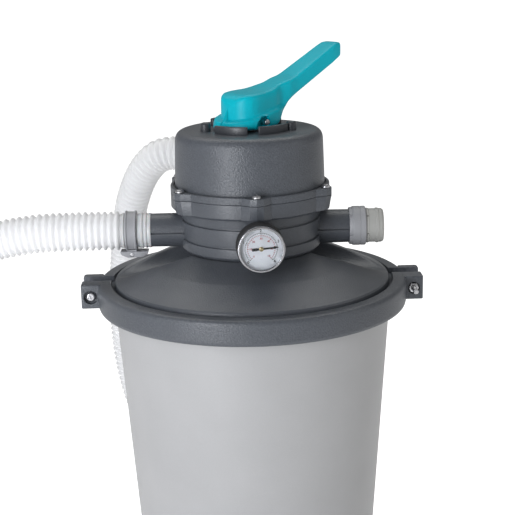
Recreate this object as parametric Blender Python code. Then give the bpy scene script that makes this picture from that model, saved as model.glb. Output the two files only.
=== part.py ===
"""Sand filter tank with a top-mount six-way valve, for a family pool.

Every piece is one object in its own material.  Sizes are in millimetres and are turned into metres
where a mesh is made.  +Z is up, +X points to the waste port, -Y to the pressure gauge, and the
origin is on the floor under the tank's axis.
"""
import math

import bmesh
import bpy
from mathutils import Matrix, Vector

MM = 0.001
GAP = 0.3                       # running and assembly gap between touching pieces

# Tank, foot and clamp
CLAMP_TOP = 500.0               # upper face of the clamp ring above the floor
CLAMP_HEIGHT = 28.5
CLAMP_RADIUS = 179.0
CLAMP_LIP_RADIUS = 163.3        # inner edge of the clamp's upper lip
CLAMP_TURN = math.radians(1.4)
CLAMP_SPLIT = 20.0              # open width between the two halves
EAR_REACH = 198.0
EAR_FRONT = 19.5                # depth of a front ear
EAR_REAR = 12.5
BOLT_X = 187.0
BOLT_Z = 485.5
BOLT_RADIUS = 3.0
BOLT_LENGTH = 70.0
FLANGE_RADIUS = 173.0           # tank and dome flanges inside the clamp
FLANGE_JOINT = 486.0
O_RING_RADIUS = 165.5
TANK_WALL = 4.0
TANK_DRAFT = math.tan(math.radians(4.0))
TANK_RADIUS_AT_CLAMP = 159.8
TANK_BOTTOM = 6.3
TANK_CORNER = 25.0
BASE_RADIUS = 150.0
BASE_HEIGHT = 40.0
DRAIN_Z = 62.0

# Dome
DOME_RIM_RADIUS = 158.8
DOME_TOP = 536.6
DOME_BORE = 60.2
DOME_WALL = 5.0
SCOOP_RADIUS = 40.0
SCOOP_FLOOR = 504.0

# Valve
PORT_Z = 558.0
PORT_RADIUS = 19.0
PORT_BORE = 16.0
PORT_END = 149.0
BODY_RADIUS = 79.8
DECK_TOP = 590.0
DECK_THICKNESS = 7.0
FLANGE_SPLIT = 603.6            # joint plane of body and cover
FLANGE_RING = 91.0
BOSS_REACH = 101.0
SCREW_CIRCLE = 94.0
SCREWS = 6
SCREW_TURN = math.radians(4.0)
COVER_TOP = 673.8
TAB_TURN = math.radians(5.5)
TAB_TOP = 682.6
STEM_RADIUS = 8.5
ROTOR_RADIUS = 70.5
PIN_Z = 684.0
PIN_RADIUS = 3.2
LEVER_TURN = math.radians(40.0)  # direction in which the lever points
SPRING_TURNS = 5

# Gauge
GAUGE_TURN = math.radians(5.0)
GAUGE_Z = 562.0
GAUGE_FACE = 124.0              # distance of the bezel's front from the valve axis

# Hoses
HOSE_RADIUS = 22.65
CUFF_LENGTH = 35.5
HOSE_LENGTH = 1500.0
HOSE_STEP = 34.0                # distance between the tube's own points
CUFF_START = 114.8              # distance of a hose's mouth from the valve axis

RETURN_ROUTE = [
    (-114.8, 0, 558), (-150.6, 0, 558), (-200, 0, 558), (-252, 0, 556), (-305, 1, 546), (-356, 2, 525),
    (-399, 3, 493), (-431, 3, 452), (-450, 2, 404), (-458, 0, 352), (-460, -4, 298), (-459, -12, 244),
    (-457, -28, 190), (-454, -54, 138), (-450, -92, 92), (-444, -142, 55), (-434, -200, 32),
    (-416, -258, 23.6), (-387, -310, 23), (-346, -351, 23), (-295, -378, 23), (-238, -390, 23),
    (-180, -390, 23), (-122, -385, 23), (-64, -380, 23), (-6, -375, 23), (52, -370, 23), (110, -365, 23),
]
PUMP_ROUTE = [
    (0, 114.8, 558), (0, 150.6, 558), (-1, 186, 559), (-11, 219, 567), (-35, 243, 582), (-67, 254, 596),
    (-96, 257, 603), (-121, 264, 598), (-140, 276, 579), (-154, 291, 553), (-165, 307, 521),
    (-172, 320, 484), (-178, 329, 440), (-182, 334, 390), (-183, 336, 340), (-179, 337, 288),
    (-169, 338, 236), (-152, 340, 184), (-126, 343, 134), (-92, 345, 90), (-50, 346, 56), (0, 345, 34),
    (55, 339, 24), (110, 324, 23), (162, 297, 23), (207, 258, 23), (241, 208, 23), (260, 150, 23),
    (265, 90, 23), (258, 32, 23), (246, -20, 23), (234, -72, 23), (222, -124, 23),
]

# Colours (linear RGB) and finishes
SLATE = (0.115, 0.122, 0.140)
SHELL_GREY = (0.46, 0.46, 0.47)
TEAL = (0.0, 0.33, 0.42)
HOSE_WHITE = (0.82, 0.82, 0.84)
CLIP_GREY = (0.30, 0.30, 0.32)
WARM_GREY = (0.38, 0.38, 0.33)
RUBBER = (0.02, 0.02, 0.02)
STEEL = (0.62, 0.62, 0.63)
BRASS = (0.62, 0.45, 0.20)
ABS_WHITE = (0.75, 0.75, 0.73)
DIAL_WHITE = (0.80, 0.82, 0.84)


def finish(name, colour, roughness, metallic=0.0):
    """Make the piece's own material."""
    made = bpy.data.materials.new(name + "_finish")
    made.use_nodes = True
    shader = made.node_tree.nodes["Principled BSDF"]
    shader.inputs["Base Color"].default_value = (*colour, 1.0)
    shader.inputs["Roughness"].default_value = roughness
    shader.inputs["Metallic"].default_value = metallic
    return made


def link(name, mesh_builder, at=(0.0, 0.0, 0.0)):
    """Write a bmesh in world millimetres to an object whose origin is at `at`."""
    origin = Vector(at)
    bmesh.ops.translate(mesh_builder, verts=mesh_builder.verts, vec=-origin)
    bmesh.ops.scale(mesh_builder, verts=mesh_builder.verts, vec=(MM, MM, MM))
    mesh = bpy.data.meshes.new(name)
    mesh_builder.to_mesh(mesh)
    mesh_builder.free()
    made = bpy.data.objects.new(name, mesh)
    made.location = origin * MM
    bpy.context.collection.objects.link(made)
    return made


def piece(name, mesh_builder, colour, roughness, metallic=0.0, at=(0.0, 0.0, 0.0)):
    """A visible sub-part with smooth round faces and its own material."""
    made = link(name, mesh_builder, at)
    made.data.shade_smooth()
    made.data.set_sharp_from_angle(angle=math.radians(35))
    made.data.materials.append(finish(name, colour, roughness, metallic))
    return made


def shape(obj, operation, name, mesh_builder):
    """Cut (DIFFERENCE), add (UNION) or keep (INTERSECT) with a hidden tool."""
    tool = link(f"{obj.name}_{name}", mesh_builder)
    tool.hide_render = True
    tool.display_type = "WIRE"
    step = obj.modifiers.new(name, "BOOLEAN")
    step.operation = operation
    step.solver = "EXACT"
    step.object = tool
    return tool


def turned(outline, steps=36):
    """Turn an (r, z) outline about Z; an outline with both ends on the axis stays open there."""
    made = bmesh.new()
    points = [made.verts.new((radius, 0.0, height)) for radius, height in outline]
    edges = [made.edges.new(pair) for pair in zip(points, points[1:])]
    if outline[0][0] > 0 or outline[-1][0] > 0:
        edges.append(made.edges.new((points[-1], points[0])))
    bmesh.ops.spin(made, geom=points + edges, cent=(0, 0, 0), axis=(0, 0, 1), angle=math.tau,
                   steps=steps, use_merge=True)
    bmesh.ops.remove_doubles(made, verts=made.verts, dist=0.001)
    bmesh.ops.recalc_face_normals(made, faces=made.faces)
    return made


def prism(outline, low, high):
    """A flat (x, y) outline raised from low to high."""
    made = bmesh.new()
    face = made.faces.new([made.verts.new((x, y, low)) for x, y in outline])
    grown = bmesh.ops.extrude_face_region(made, geom=[face])
    top = [item for item in grown["geom"] if isinstance(item, bmesh.types.BMVert)]
    bmesh.ops.translate(made, verts=top, vec=(0, 0, high - low))
    bmesh.ops.recalc_face_normals(made, faces=made.faces)
    return made


def box(low, high):
    """A box between two corners."""
    outline = [(low[0], low[1]), (high[0], low[1]), (high[0], high[1]), (low[0], high[1])]
    return prism(outline, low[2], high[2])


def rod(radius, low, high, sides=16):
    """A round bar along Z."""
    return turned([(0, low), (radius, low), (radius, high), (0, high)], sides)


def pipe(outer, inner, low, high, sides=16):
    """A round tube along Z."""
    return turned([(inner, low), (outer, low), (outer, high), (inner, high)], sides)


def moved(mesh_builder, matrix):
    """Place a bmesh."""
    bmesh.ops.transform(mesh_builder, matrix=matrix, verts=mesh_builder.verts)
    return mesh_builder


def together(*builders):
    """Several separate closed shapes in one bmesh, for use as a cutter."""
    made = bmesh.new()
    for builder in builders:
        mesh = bpy.data.meshes.new("part")
        builder.to_mesh(mesh)
        builder.free()
        made.from_mesh(mesh)
        bpy.data.meshes.remove(mesh)
    return made


def turn_z(angle):
    return Matrix.Rotation(angle, 4, "Z")


ALONG_X = Matrix.Rotation(math.radians(90), 4, "Y")
ALONG_Y = Matrix.Rotation(math.radians(-90), 4, "X")


def at_height(x, y, z):
    return Matrix.Translation((x, y, z))


def arc(centre, radius, start, end, steps):
    """Points of a circular arc, angles in degrees."""
    angles = [math.radians(start + (end - start) * index / steps) for index in range(steps + 1)]
    return [(centre[0] + radius * math.cos(a), centre[1] + radius * math.sin(a)) for a in angles]


def sector(inner, outer, half_angle, middle, steps=3):
    """Outline of a ring sector; angles in degrees."""
    outside = arc((0, 0), outer, middle - half_angle, middle + half_angle, steps)
    inside = arc((0, 0), inner, middle + half_angle, middle - half_angle, steps - 1)
    return outside + inside


# ---------------------------------------------------------------- tank and foot

def tank_radius(height):
    """Outer radius of the tank's straight wall."""
    return TANK_RADIUS_AT_CLAMP - (CLAMP_TOP - CLAMP_HEIGHT - height) * TANK_DRAFT


def make_tank_base():
    cup = tank_radius(BASE_HEIGHT) + 0.7
    outline = [(0, 0), (BASE_RADIUS - 2, 0), (BASE_RADIUS, 2), (BASE_RADIUS, 9), (cup + 7, BASE_HEIGHT - 3),
               (cup + 4, BASE_HEIGHT), (cup, BASE_HEIGHT), (cup, TANK_BOTTOM - GAP), (0, TANK_BOTTOM - GAP)]
    piece("tank_base", turned(outline, 32), SLATE, 0.55)


def make_tank():
    corner = TANK_BOTTOM + TANK_CORNER
    centre = (tank_radius(corner) - TANK_CORNER, corner)
    lip = CLAMP_TOP - CLAMP_HEIGHT + 6
    joint = FLANGE_JOINT - 0.2
    outer = [(0, TANK_BOTTOM)] + arc(centre, TANK_CORNER, -90, 0, 3)
    outer += [(tank_radius(lip), lip), (FLANGE_RADIUS, joint - 4.8), (FLANGE_RADIUS, joint)]
    groove = [(O_RING_RADIUS + 2.8, joint), (O_RING_RADIUS + 2.8, joint - 2.6),
              (O_RING_RADIUS - 2.8, joint - 2.6), (O_RING_RADIUS - 2.8, joint)]
    inner = [(tank_radius(lip) - TANK_WALL, joint), (tank_radius(lip - 10) - TANK_WALL, lip - 10)]
    inner += arc(centre, TANK_CORNER - TANK_WALL, 0, -90, 3) + [(0, TANK_BOTTOM + TANK_WALL)]
    tank = piece("tank", turned(outer + groove + inner, 32), SHELL_GREY, 0.45)
    spout = moved(pipe(14, 10, 124, 156, 14), at_height(0, 0, DRAIN_Z) @ ALONG_X)
    shape(tank, "UNION", "spout", spout)
    shape(tank, "DIFFERENCE", "spout_bore", moved(rod(10, 115, 160, 14), at_height(0, 0, DRAIN_Z) @ ALONG_X))


def make_drain():
    """Screw cap with its sealing ring on the tank's drain spout."""
    level = at_height(0, 0, DRAIN_Z) @ ALONG_X
    seal = pipe(13.6, 10.4, 156.3, 158.3, 14)
    piece("drain_o_ring", moved(seal, level), RUBBER, 0.6, at=(158, 0, DRAIN_Z))
    cap = turned([(0, 158.6), (14.6, 158.6), (14.6, 143), (18, 143), (18, 160), (16.5, 163), (0, 163)], 16)
    cap = piece("drain_cap", moved(cap, level), SLATE, 0.5, at=(158, 0, DRAIN_Z))
    shape(cap, "UNION", "grip", moved(box((-3, -14, 162), (3, 14, 169)), level))


def make_sand_side():
    """Standpipe, collector hub and laterals in the sand."""
    piece("standpipe", pipe(16, 13.4, 46.6, 572, 16), ABS_WHITE, 0.4)
    hub = [(0, 10.6), (24, 10.6), (26, 13), (26, 48), (22, 62), (16.4, 62), (16.4, 46.2), (13, 46.2),
           (13, 25), (0, 25)]
    hub = piece("collector_hub", turned(hub, 18), SLATE, 0.5)
    bores = [moved(rod(7.4, 12, 30, 10), turn_z(math.tau * index / 6) @ at_height(0, 0, 35) @ ALONG_X)
             for index in range(6)]
    shape(hub, "DIFFERENCE", "sockets", together(*bores))
    for index in range(6):
        tube = turned([(5.2, 17), (7, 17), (7, 100), (5, 104), (0, 104), (0, 101.5), (5.2, 99)], 10)
        turn = turn_z(math.tau * index / 6) @ at_height(0, 0, 35) @ ALONG_X
        piece(f"lateral_{index + 1}", moved(tube, turn), ABS_WHITE, 0.4)


# ---------------------------------------------------------------- clamp ring

def clamp_ring(low, high):
    """The full clamp ring's section turned, kept between two Y planes in the clamp's own frame."""
    bottom = CLAMP_TOP - CLAMP_HEIGHT
    outline = [(161.6, bottom), (CLAMP_RADIUS - 3, bottom), (CLAMP_RADIUS, bottom + 3),
               (CLAMP_RADIUS, CLAMP_TOP - 6), (CLAMP_RADIUS - 2, CLAMP_TOP - 2), (CLAMP_RADIUS - 6, CLAMP_TOP),
               (CLAMP_LIP_RADIUS + 1, CLAMP_TOP), (CLAMP_LIP_RADIUS, CLAMP_TOP - 1),
               (CLAMP_LIP_RADIUS, 493.95), (174.2, 491.1), (174.2, 480.7), (161.6, 477.4)]
    return turned(outline, 40), box((-210, low, bottom - 5), (210, high, CLAMP_TOP + 5))


def make_clamp():
    bottom = CLAMP_TOP - CLAMP_HEIGHT
    halves = (("clamp_front", -210, 0, -EAR_FRONT, 0),
              ("clamp_rear", CLAMP_SPLIT, 210, CLAMP_SPLIT, CLAMP_SPLIT + EAR_REAR))
    for name, low, high, ear_low, ear_high in halves:
        ring, keep = clamp_ring(low, high)
        half = piece(name, moved(ring, turn_z(CLAMP_TURN)), SLATE, 0.5)
        for side, label in ((-1, "left"), (1, "right")):
            near, far = sorted((side * 175.2, side * EAR_REACH))
            ear = box((near, ear_low - 4 * (low > 0), bottom + GAP),
                      (far, ear_high + 4 * (low < 0), CLAMP_TOP - GAP))
            shape(half, "UNION", f"ear_{label}", moved(ear, turn_z(CLAMP_TURN)))
        shape(half, "INTERSECT", "half", moved(keep, turn_z(CLAMP_TURN)))
        holes = []
        for side in (-1, 1):
            spot = at_height(side * BOLT_X, 0, BOLT_Z) @ ALONG_Y
            holes.append(moved(rod(BOLT_RADIUS + 0.4, ear_low - 5, ear_high + 5, 10), turn_z(CLAMP_TURN) @ spot))
        shape(half, "DIFFERENCE", "bolt_holes", together(*holes))
    front = bpy.data.objects["clamp_front"]
    recesses = []
    for side, radius in ((-1, 8.3), (1, 7.0)):
        spot = at_height(side * BOLT_X, 0, BOLT_Z) @ ALONG_Y
        recesses.append(moved(rod(radius, -EAR_FRONT - 3, -EAR_FRONT + 5, 14), turn_z(CLAMP_TURN) @ spot))
    shape(front, "DIFFERENCE", "recesses", together(*recesses))
    for side, label in ((-1, "left"), (1, "right")):
        spot = turn_z(CLAMP_TURN) @ at_height(side * BOLT_X, 0, BOLT_Z) @ ALONG_Y
        if side < 0:
            seat, tip, nut = -EAR_FRONT + 5 - GAP, BOLT_LENGTH - EAR_FRONT + 5, CLAMP_SPLIT + EAR_REAR + GAP
            outline = [(0, seat - 4), (4.2, seat - 3.6), (5.8, seat - 1.5), (5.8, seat), (BOLT_RADIUS, seat),
                       (BOLT_RADIUS, tip - 1), (2.2, tip), (0, tip)]
            nut_low, nut_high = nut, nut + 5
        else:
            seat, tip = CLAMP_SPLIT + EAR_REAR + GAP, CLAMP_SPLIT + EAR_REAR - BOLT_LENGTH
            outline = [(0, tip), (2.2, tip), (BOLT_RADIUS, tip + 1), (BOLT_RADIUS, seat), (5.8, seat),
                       (5.8, seat + 1.5), (4.2, seat + 3.6), (0, seat + 4)]
            nut_low, nut_high = -EAR_FRONT - 0.3, -EAR_FRONT + 4.7
        piece(f"clamp_bolt_{label}", moved(turned(outline, 12), spot), STEEL, 0.3, 1.0)
        nut = piece(f"clamp_nut_{label}", moved(rod(5.8, nut_low, nut_high, 6), spot), STEEL, 0.3, 1.0)
        shape(nut, "DIFFERENCE", "thread", moved(rod(BOLT_RADIUS + 0.35, nut_low - 2, nut_high + 2, 12), spot))


# ---------------------------------------------------------------- dome

def dome_slope(offset):
    """Outer slope of the dome from its rim bead to its flat top, moved in by an offset."""
    return [(156.5 - offset, 503.6 - offset * 0.9), (118 - offset * 0.4, 521.8 - offset), (78, DOME_TOP - offset)]


def scoop_bars(radius):
    """Bars that form the hollows under the three side ports."""
    bars = []
    for turn in (0, 90, 180):
        level = at_height(0, 0, SCOOP_FLOOR + SCOOP_RADIUS)
        bars.append(moved(rod(radius, 50.3, 190, 18), turn_z(math.radians(turn)) @ level @ ALONG_X))
    return together(*bars)


def make_dome():
    joint = FLANGE_JOINT + 0.2
    outline = [(O_RING_RADIUS - 2.8, joint), (O_RING_RADIUS - 2.8, joint + 2.6), (O_RING_RADIUS + 2.8, joint + 2.6),
               (O_RING_RADIUS + 2.8, joint), (FLANGE_RADIUS, joint), (FLANGE_RADIUS, 491.0), (161, 494.2),
               (159.3, 495.2), (DOME_RIM_RADIUS, 501.3), (158.0, 502.9)]
    outline += dome_slope(0) + [(0, DOME_TOP), (0, joint)]
    dome = piece("dome", turned(outline, 36), SLATE, 0.5)
    shape(dome, "DIFFERENCE", "scoops", scoop_bars(SCOOP_RADIUS))
    inner = [(0, joint - 5), (153.5, joint - 5)] + dome_slope(DOME_WALL) + [(0, DOME_TOP - DOME_WALL)]
    hollow = shape(dome, "DIFFERENCE", "hollow", turned(inner, 36))
    shape(hollow, "DIFFERENCE", "hollow_scoops", scoop_bars(SCOOP_RADIUS + DOME_WALL))
    shape(dome, "DIFFERENCE", "valve_bore", rod(DOME_BORE, 500, 550, 28))
    ring = [(O_RING_RADIUS + 1.8 * math.cos(a), FLANGE_JOINT + 1.8 * math.sin(a))
            for a in (math.tau * index / 6 for index in range(6))]
    piece("tank_o_ring", turned(ring, 32), RUBBER, 0.6)


# ---------------------------------------------------------------- valve body and its inside

def sector_angles():
    return [60 * index for index in range(6)]


def wedges(inner, outer, half_angle, low, high):
    return together(*[prism(sector(inner, outer, half_angle, middle), low, high) for middle in sector_angles()])


def bosses(low, high, chamfer):
    """Six prow-shaped screw bosses round the valve's flange."""
    made = []
    for index in range(SCREWS):
        outline = [(88.3, -15.5), (90.5, -15.5), (BOSS_REACH - 2, -6), (BOSS_REACH, 0), (BOSS_REACH - 2, 6),
                   (90.5, 15.5), (88.3, 15.5)]
        boss = prism(outline, low, high)
        for vert in boss.verts:
            if chamfer and vert.co.z < low + 0.1 and vert.co.x > 95:
                vert.co.x -= 4
        turn = math.radians(-90) + SCREW_TURN + math.tau * index / SCREWS
        made.append(moved(boss, turn_z(turn)))
    return together(*made)


def screw_holes(low, high):
    made = []
    for index in range(SCREWS):
        turn = math.radians(-90) + SCREW_TURN + math.tau * index / SCREWS
        made.append(moved(rod(2.9, low, high, 8), turn_z(turn) @ at_height(SCREW_CIRCLE, 0, 0)))
    return together(*made)


def make_valve_body():
    base = DOME_TOP + GAP
    top = FLANGE_SPLIT - 0.15
    outline = [(0, DECK_TOP - DECK_THICKNESS), (16.6, DECK_TOP - DECK_THICKNESS), (16.6, 522), (21, 522),
               (21, 541), (55, 541), (55, 522), (59.6, 522), (59.6, base), (75.5, base), (79.2, base + 3.6),
               (BODY_RADIUS, 572), (80, 585.5), (88.5, 585.5), (FLANGE_RING, 588), (FLANGE_RING, top),
               (87, top), (87, top - 2.3), (82, top - 2.3), (82, top), (72.5, top), (72.5, DECK_TOP), (0, DECK_TOP)]
    body = piece("valve_body", turned(outline, 28), SLATE, 0.5)
    shape(body, "DIFFERENCE", "chambers", wedges(21, 75.3, 28, 545, DECK_TOP - DECK_THICKNESS))
    shape(body, "UNION", "screw_bosses", bosses(587, top, True))
    shape(body, "DIFFERENCE", "screw_holes", screw_holes(592, top + 5))
    for turn, label, end in ((180, "return", PORT_END), (90, "pump", PORT_END)):
        way = turn_z(math.radians(turn)) @ at_height(0, 0, PORT_Z) @ ALONG_X
        shape(body, "UNION", f"{label}_port", moved(rod(PORT_RADIUS, 76, end, 14), way))
        shape(body, "DIFFERENCE", f"{label}_bore", moved(rod(PORT_BORE, 60, end + 5, 12), way))
    way = at_height(0, 0, PORT_Z) @ ALONG_X
    waste = turned([(0, 76), (PORT_RADIUS, 76), (PORT_RADIUS, 116), (17, 116.2), (17, 126), (0, 126)], 14)
    shape(body, "UNION", "waste_port", moved(waste, way))
    shape(body, "DIFFERENCE", "waste_bore", moved(rod(13.5, 60, 131, 12), way))
    shape(body, "DIFFERENCE", "deck_ways", wedges(30, 62, 19, DECK_TOP - DECK_THICKNESS - 1, DECK_TOP + 1))
    tank_ways = [moved(rod(8, 535, 550, 10), turn_z(math.radians(turn)) @ at_height(38, 0, 0)) for turn in (60, 120)]
    shape(body, "DIFFERENCE", "tank_ways", together(*tank_ways))
    window = moved(rod(8, 10, 30, 10), turn_z(math.radians(240)) @ at_height(0, 0, 565) @ ALONG_X)
    shape(body, "DIFFERENCE", "standpipe_window", window)
    gauge_tap = moved(rod(5.0, 60, 90, 10), turn_z(GAUGE_TURN - math.radians(90)) @ at_height(0, 0, GAUGE_Z) @ ALONG_X)
    shape(body, "DIFFERENCE", "gauge_tap", gauge_tap)


def make_valve_inside():
    gasket = piece("spider_gasket", rod(71, DECK_TOP + GAP, DECK_TOP + 2.3, 24), RUBBER, 0.7)
    shape(gasket, "DIFFERENCE", "ways", wedges(28, 64, 22, DECK_TOP - 1, DECK_TOP + 4))
    low = DECK_TOP + 2.6
    outline = [(0, low), (ROTOR_RADIUS, low), (ROTOR_RADIUS, low + 8), (66, low + 13.4), (19, low + 13.4),
               (14, low + 16), (STEM_RADIUS, low + 20), (STEM_RADIUS, PIN_Z + 6), (7, PIN_Z + 8), (0, PIN_Z + 8)]
    rotor = piece("rotor", turned(outline, 24), ABS_WHITE, 0.4, at=(0, 0, DECK_TOP))
    pocket = prism(sector(26, 66, 50, 60, 6), low - 1, low + 8)
    shape(rotor, "DIFFERENCE", "pocket", pocket)
    pin_way = turn_z(LEVER_TURN - math.radians(90)) @ at_height(0, 0, PIN_Z) @ ALONG_X
    shape(rotor, "DIFFERENCE", "pin_hole", moved(rod(PIN_RADIUS + 0.4, -15, 15, 12), pin_way))
    seal = [(10.75 + 1.45 * math.cos(a), 669.6 + 1.45 * math.sin(a))
            for a in (math.tau * index / 6 for index in range(6))]
    piece("stem_o_ring", turned(seal, 16), RUBBER, 0.6)
    seal = [(84.5 + 1.7 * math.cos(a), FLANGE_SPLIT + 1.7 * math.sin(a))
            for a in (math.tau * index / 6 for index in range(6))]
    piece("cover_o_ring", turned(seal, 28), RUBBER, 0.6)
    piece("slip_washer", pipe(22, 9.6, COVER_TOP + GAP, COVER_TOP + 1.5, 20), STEEL, 0.35, 1.0,
          at=(0, 0, COVER_TOP))
    make_spring(low + 13.4 + GAP, 668.4 - GAP)
    basket = [(17.4, 497), (50, 497), (50, 518), (59, 518), (59, 521.6), (46.5, 521.6), (46.5, 500), (17.4, 500)]
    diffuser = piece("water_diffuser", turned(basket, 20), ABS_WHITE, 0.4)
    slots = [moved(box((40, -5, 502), (56, 5, 514)), turn_z(math.tau * index / 8)) for index in range(8)]
    shape(diffuser, "DIFFERENCE", "slots", together(*slots))


def make_spring(low, high):
    """Coil spring with round wire, swept section by section."""
    wire, mean, around, sides = 2.0, 22.0, 10, 5
    made = bmesh.new()
    steps = SPRING_TURNS * around
    rings = []
    for index in range(steps + 1):
        turn = math.tau * index / around
        height = low + wire + (high - low - 2 * wire) * index / steps
        ring = []
        for side in range(sides):
            a = math.tau * side / sides
            radius = mean + wire * math.cos(a)
            ring.append(made.verts.new((radius * math.cos(turn), radius * math.sin(turn),
                                        height + wire * math.sin(a))))
        rings.append(ring)
    for first, second in zip(rings, rings[1:]):
        for side in range(sides):
            follow = (side + 1) % sides
            made.faces.new((first[side], first[follow], second[follow], second[side]))
    made.faces.new(rings[0][::-1])
    made.faces.new(rings[-1])
    bmesh.ops.recalc_face_normals(made, faces=made.faces)
    piece("valve_spring", made, STEEL, 0.3, 1.0)


# ---------------------------------------------------------------- valve cover, screws and lever

def make_cover():
    low = FLANGE_SPLIT + 0.15
    outline = [(80.5, low), (82, low), (82, low + 2.3), (87, low + 2.3), (87, low), (FLANGE_RING, low),
               (FLANGE_RING, 610.5), (89.5, 612), (85.7, 612.3), (84.9, 640)]
    outline += arc((71.9, 661.6), 12.0, 0, 90, 3)
    outline += [(50, COVER_TOP), (9.2, COVER_TOP), (9.2, 671.8), (12.6, 671.8), (12.6, 667.5), (9.2, 667.5),
                (9.2, 664.5), (14, 664.5), (14, 668.4), (71, 668.4), (77, 665), (79.2, 658), (80.5, 640)]
    cover = piece("valve_cover", turned(outline, 30), SLATE, 0.5)
    shape(cover, "UNION", "screw_bosses", bosses(low, 612, False))
    shape(cover, "DIFFERENCE", "screw_holes", screw_holes(600, 620))
    tabs = [prism(sector(46.3, 50.6, 24, -90 + math.degrees(TAB_TURN) + middle), COVER_TOP - 2, TAB_TOP)
            for middle in (-31, 31, 149, 211)]
    for middle in (-74, 71):
        post = rod(5.8, COVER_TOP - 2, TAB_TOP + 1, 10)
        tabs.append(moved(post, turn_z(math.radians(middle - 90)) @ at_height(50.4, 0, 0)))
    for index, tab in enumerate(tabs):
        shape(cover, "UNION", f"tab_{index}", tab)
    for index in range(SCREWS):
        turn = math.radians(-90) + SCREW_TURN + math.tau * index / SCREWS
        screw = turned([(0, 594), (2.45, 594), (2.45, 612.3), (4.9, 612.3), (4.9, 613.8), (3.4, 615.6), (0, 616)], 10)
        piece(f"cover_screw_{index + 1}", moved(screw, turn_z(turn) @ at_height(SCREW_CIRCLE, 0, 0)),
              STEEL, 0.3, 1.0)


def make_lever():
    """Push-down selector lever; u runs along the lever, v along the pivot pin."""
    frame = turn_z(LEVER_TURN)
    side = [(-38, -8), (20, -8), (48, 19), (132, 60), (140, 66), (137, 76), (128, 78), (60, 45), (16, 32),
            (-18, 31), (-34, 20), (-41, 2), (-42, -6)]
    upright = Matrix.Rotation(math.radians(90), 4, "X")
    body = moved(prism(side, -37, 37), frame @ at_height(0, 0, PIN_Z) @ upright)
    lever = piece("handle", body, TEAL, 0.35, at=(0, 0, PIN_Z))
    near = [(-43, -6), (-39, -17.5), (-31, -29), (-22, -36), (-10, -35), (10, -32), (27, -27), (35, -21),
            (60, -17), (120, -15), (138, -11)]
    plan = near + [(142, 0)] + [(u, -v) for u, v in reversed(near)]
    shape(lever, "INTERSECT", "plan", moved(prism(plan, 670, 770), frame))
    slot = moved(box((-15.5, -9.4, PIN_Z - 12), (15.5, 9.4, PIN_Z + 15)), frame)
    shape(lever, "DIFFERENCE", "stem_slot", slot)
    arch = [(-20, -9), (-14, 2), (-7, 7), (3, 7), (5, 3), (5, -9)]
    arches = [moved(prism(arch, low, high), frame @ at_height(0, 0, PIN_Z) @ upright)
              for low, high in ((26, 44), (-44, -26))]
    shape(lever, "DIFFERENCE", "arches", together(*arches))
    pin_way = frame @ turn_z(math.radians(-90)) @ at_height(0, 0, PIN_Z) @ ALONG_X
    shape(lever, "DIFFERENCE", "pin_hole", moved(rod(PIN_RADIUS + 0.4, -40, 40, 12), pin_way))
    pin = turned([(0, -34), (PIN_RADIUS, -33), (PIN_RADIUS, 33), (2.2, 34), (0, 34)], 12)
    piece("handle_pin", moved(pin, pin_way), STEEL, 0.3, 1.0, at=(0, 0, PIN_Z))


# ---------------------------------------------------------------- gauge

def make_gauge():
    """Pressure gauge; its pieces are turned about an axis that leaves the valve body at the front."""
    way = turn_z(GAUGE_TURN - math.radians(90)) @ at_height(0, 0, GAUGE_Z) @ ALONG_X
    front = GAUGE_FACE
    stem = turned([(0, 70), (4.6, 70), (4.6, 80.8), (9, 80.8), (9, 97), (0, 97)], 10)
    piece("gauge_stem", moved(stem, way), BRASS, 0.3, 1.0)
    case = [(0, front - 26.6), (24, front - 26.6), (26.2, front - 24), (26.2, front - 6.6), (23.8, front - 6.6),
            (23.8, front - 23.5), (0, front - 23.5)]
    piece("gauge_case", moved(turned(case, 20), way), SLATE, 0.5)
    bezel = [(24.2, front - 6.3), (25.6, front - 6.3), (25.6, front - 1.2), (24.6, front), (22.2, front),
             (22.2, front - 1.4), (24.2, front - 1.4)]
    piece("gauge_bezel", moved(turned(bezel, 24), way), STEEL, 0.15, 1.0)
    piece("gauge_lens", moved(rod(23.7, front - 2.8, front - 1.7, 24), way), (0.9, 0.93, 0.95), 0.05)
    piece("gauge_dial", moved(rod(23.7, front - 6.2, front - 5.2, 24), way), DIAL_WHITE, 0.5)
    needle = [(-11, -1.6), (-4, -1.2), (18.5, -0.5), (20, 0), (18.5, 0.5), (-4, 1.2), (-11, 1.6)]
    needle = prism([(-y, x) for x, y in needle], front - 4.8, front - 4.0)
    pointer = piece("gauge_pointer", moved(needle, way), RUBBER, 0.4, at=tuple(way @ Vector((0, 0, front))))
    hub = moved(rod(3.2, front - 4.9, front - 3.2, 12), way)
    shape(pointer, "UNION", "hub", hub)


# ---------------------------------------------------------------- waste port

def make_waste_closure():
    level = at_height(0, 0, PORT_Z) @ ALONG_X
    end = (126, 0, PORT_Z)
    piece("waste_gasket", moved(pipe(16.6, 10.5, 126.3, 128.2, 16), level), RUBBER, 0.6, at=end)
    cap = [(0, 128.5), (16.8, 128.5), (16.8, 130.2), (14.6, 130.2), (14.6, 132.6), (20.3, 132.6), (20.3, 150),
           (18.8, 152), (0, 152.6)]
    piece("waste_cap", moved(turned(cap, 24), level), WARM_GREY, 0.5, at=end)
    nut = [(17.4, 116.6), (22.65, 116.6), (22.65, 132.2), (15.0, 132.2), (15.0, 130.6), (17.4, 130.6)]
    piece("waste_nut", moved(turned(nut, 24), level), CLIP_GREY, 0.5, at=end)


# ---------------------------------------------------------------- hoses

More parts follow.
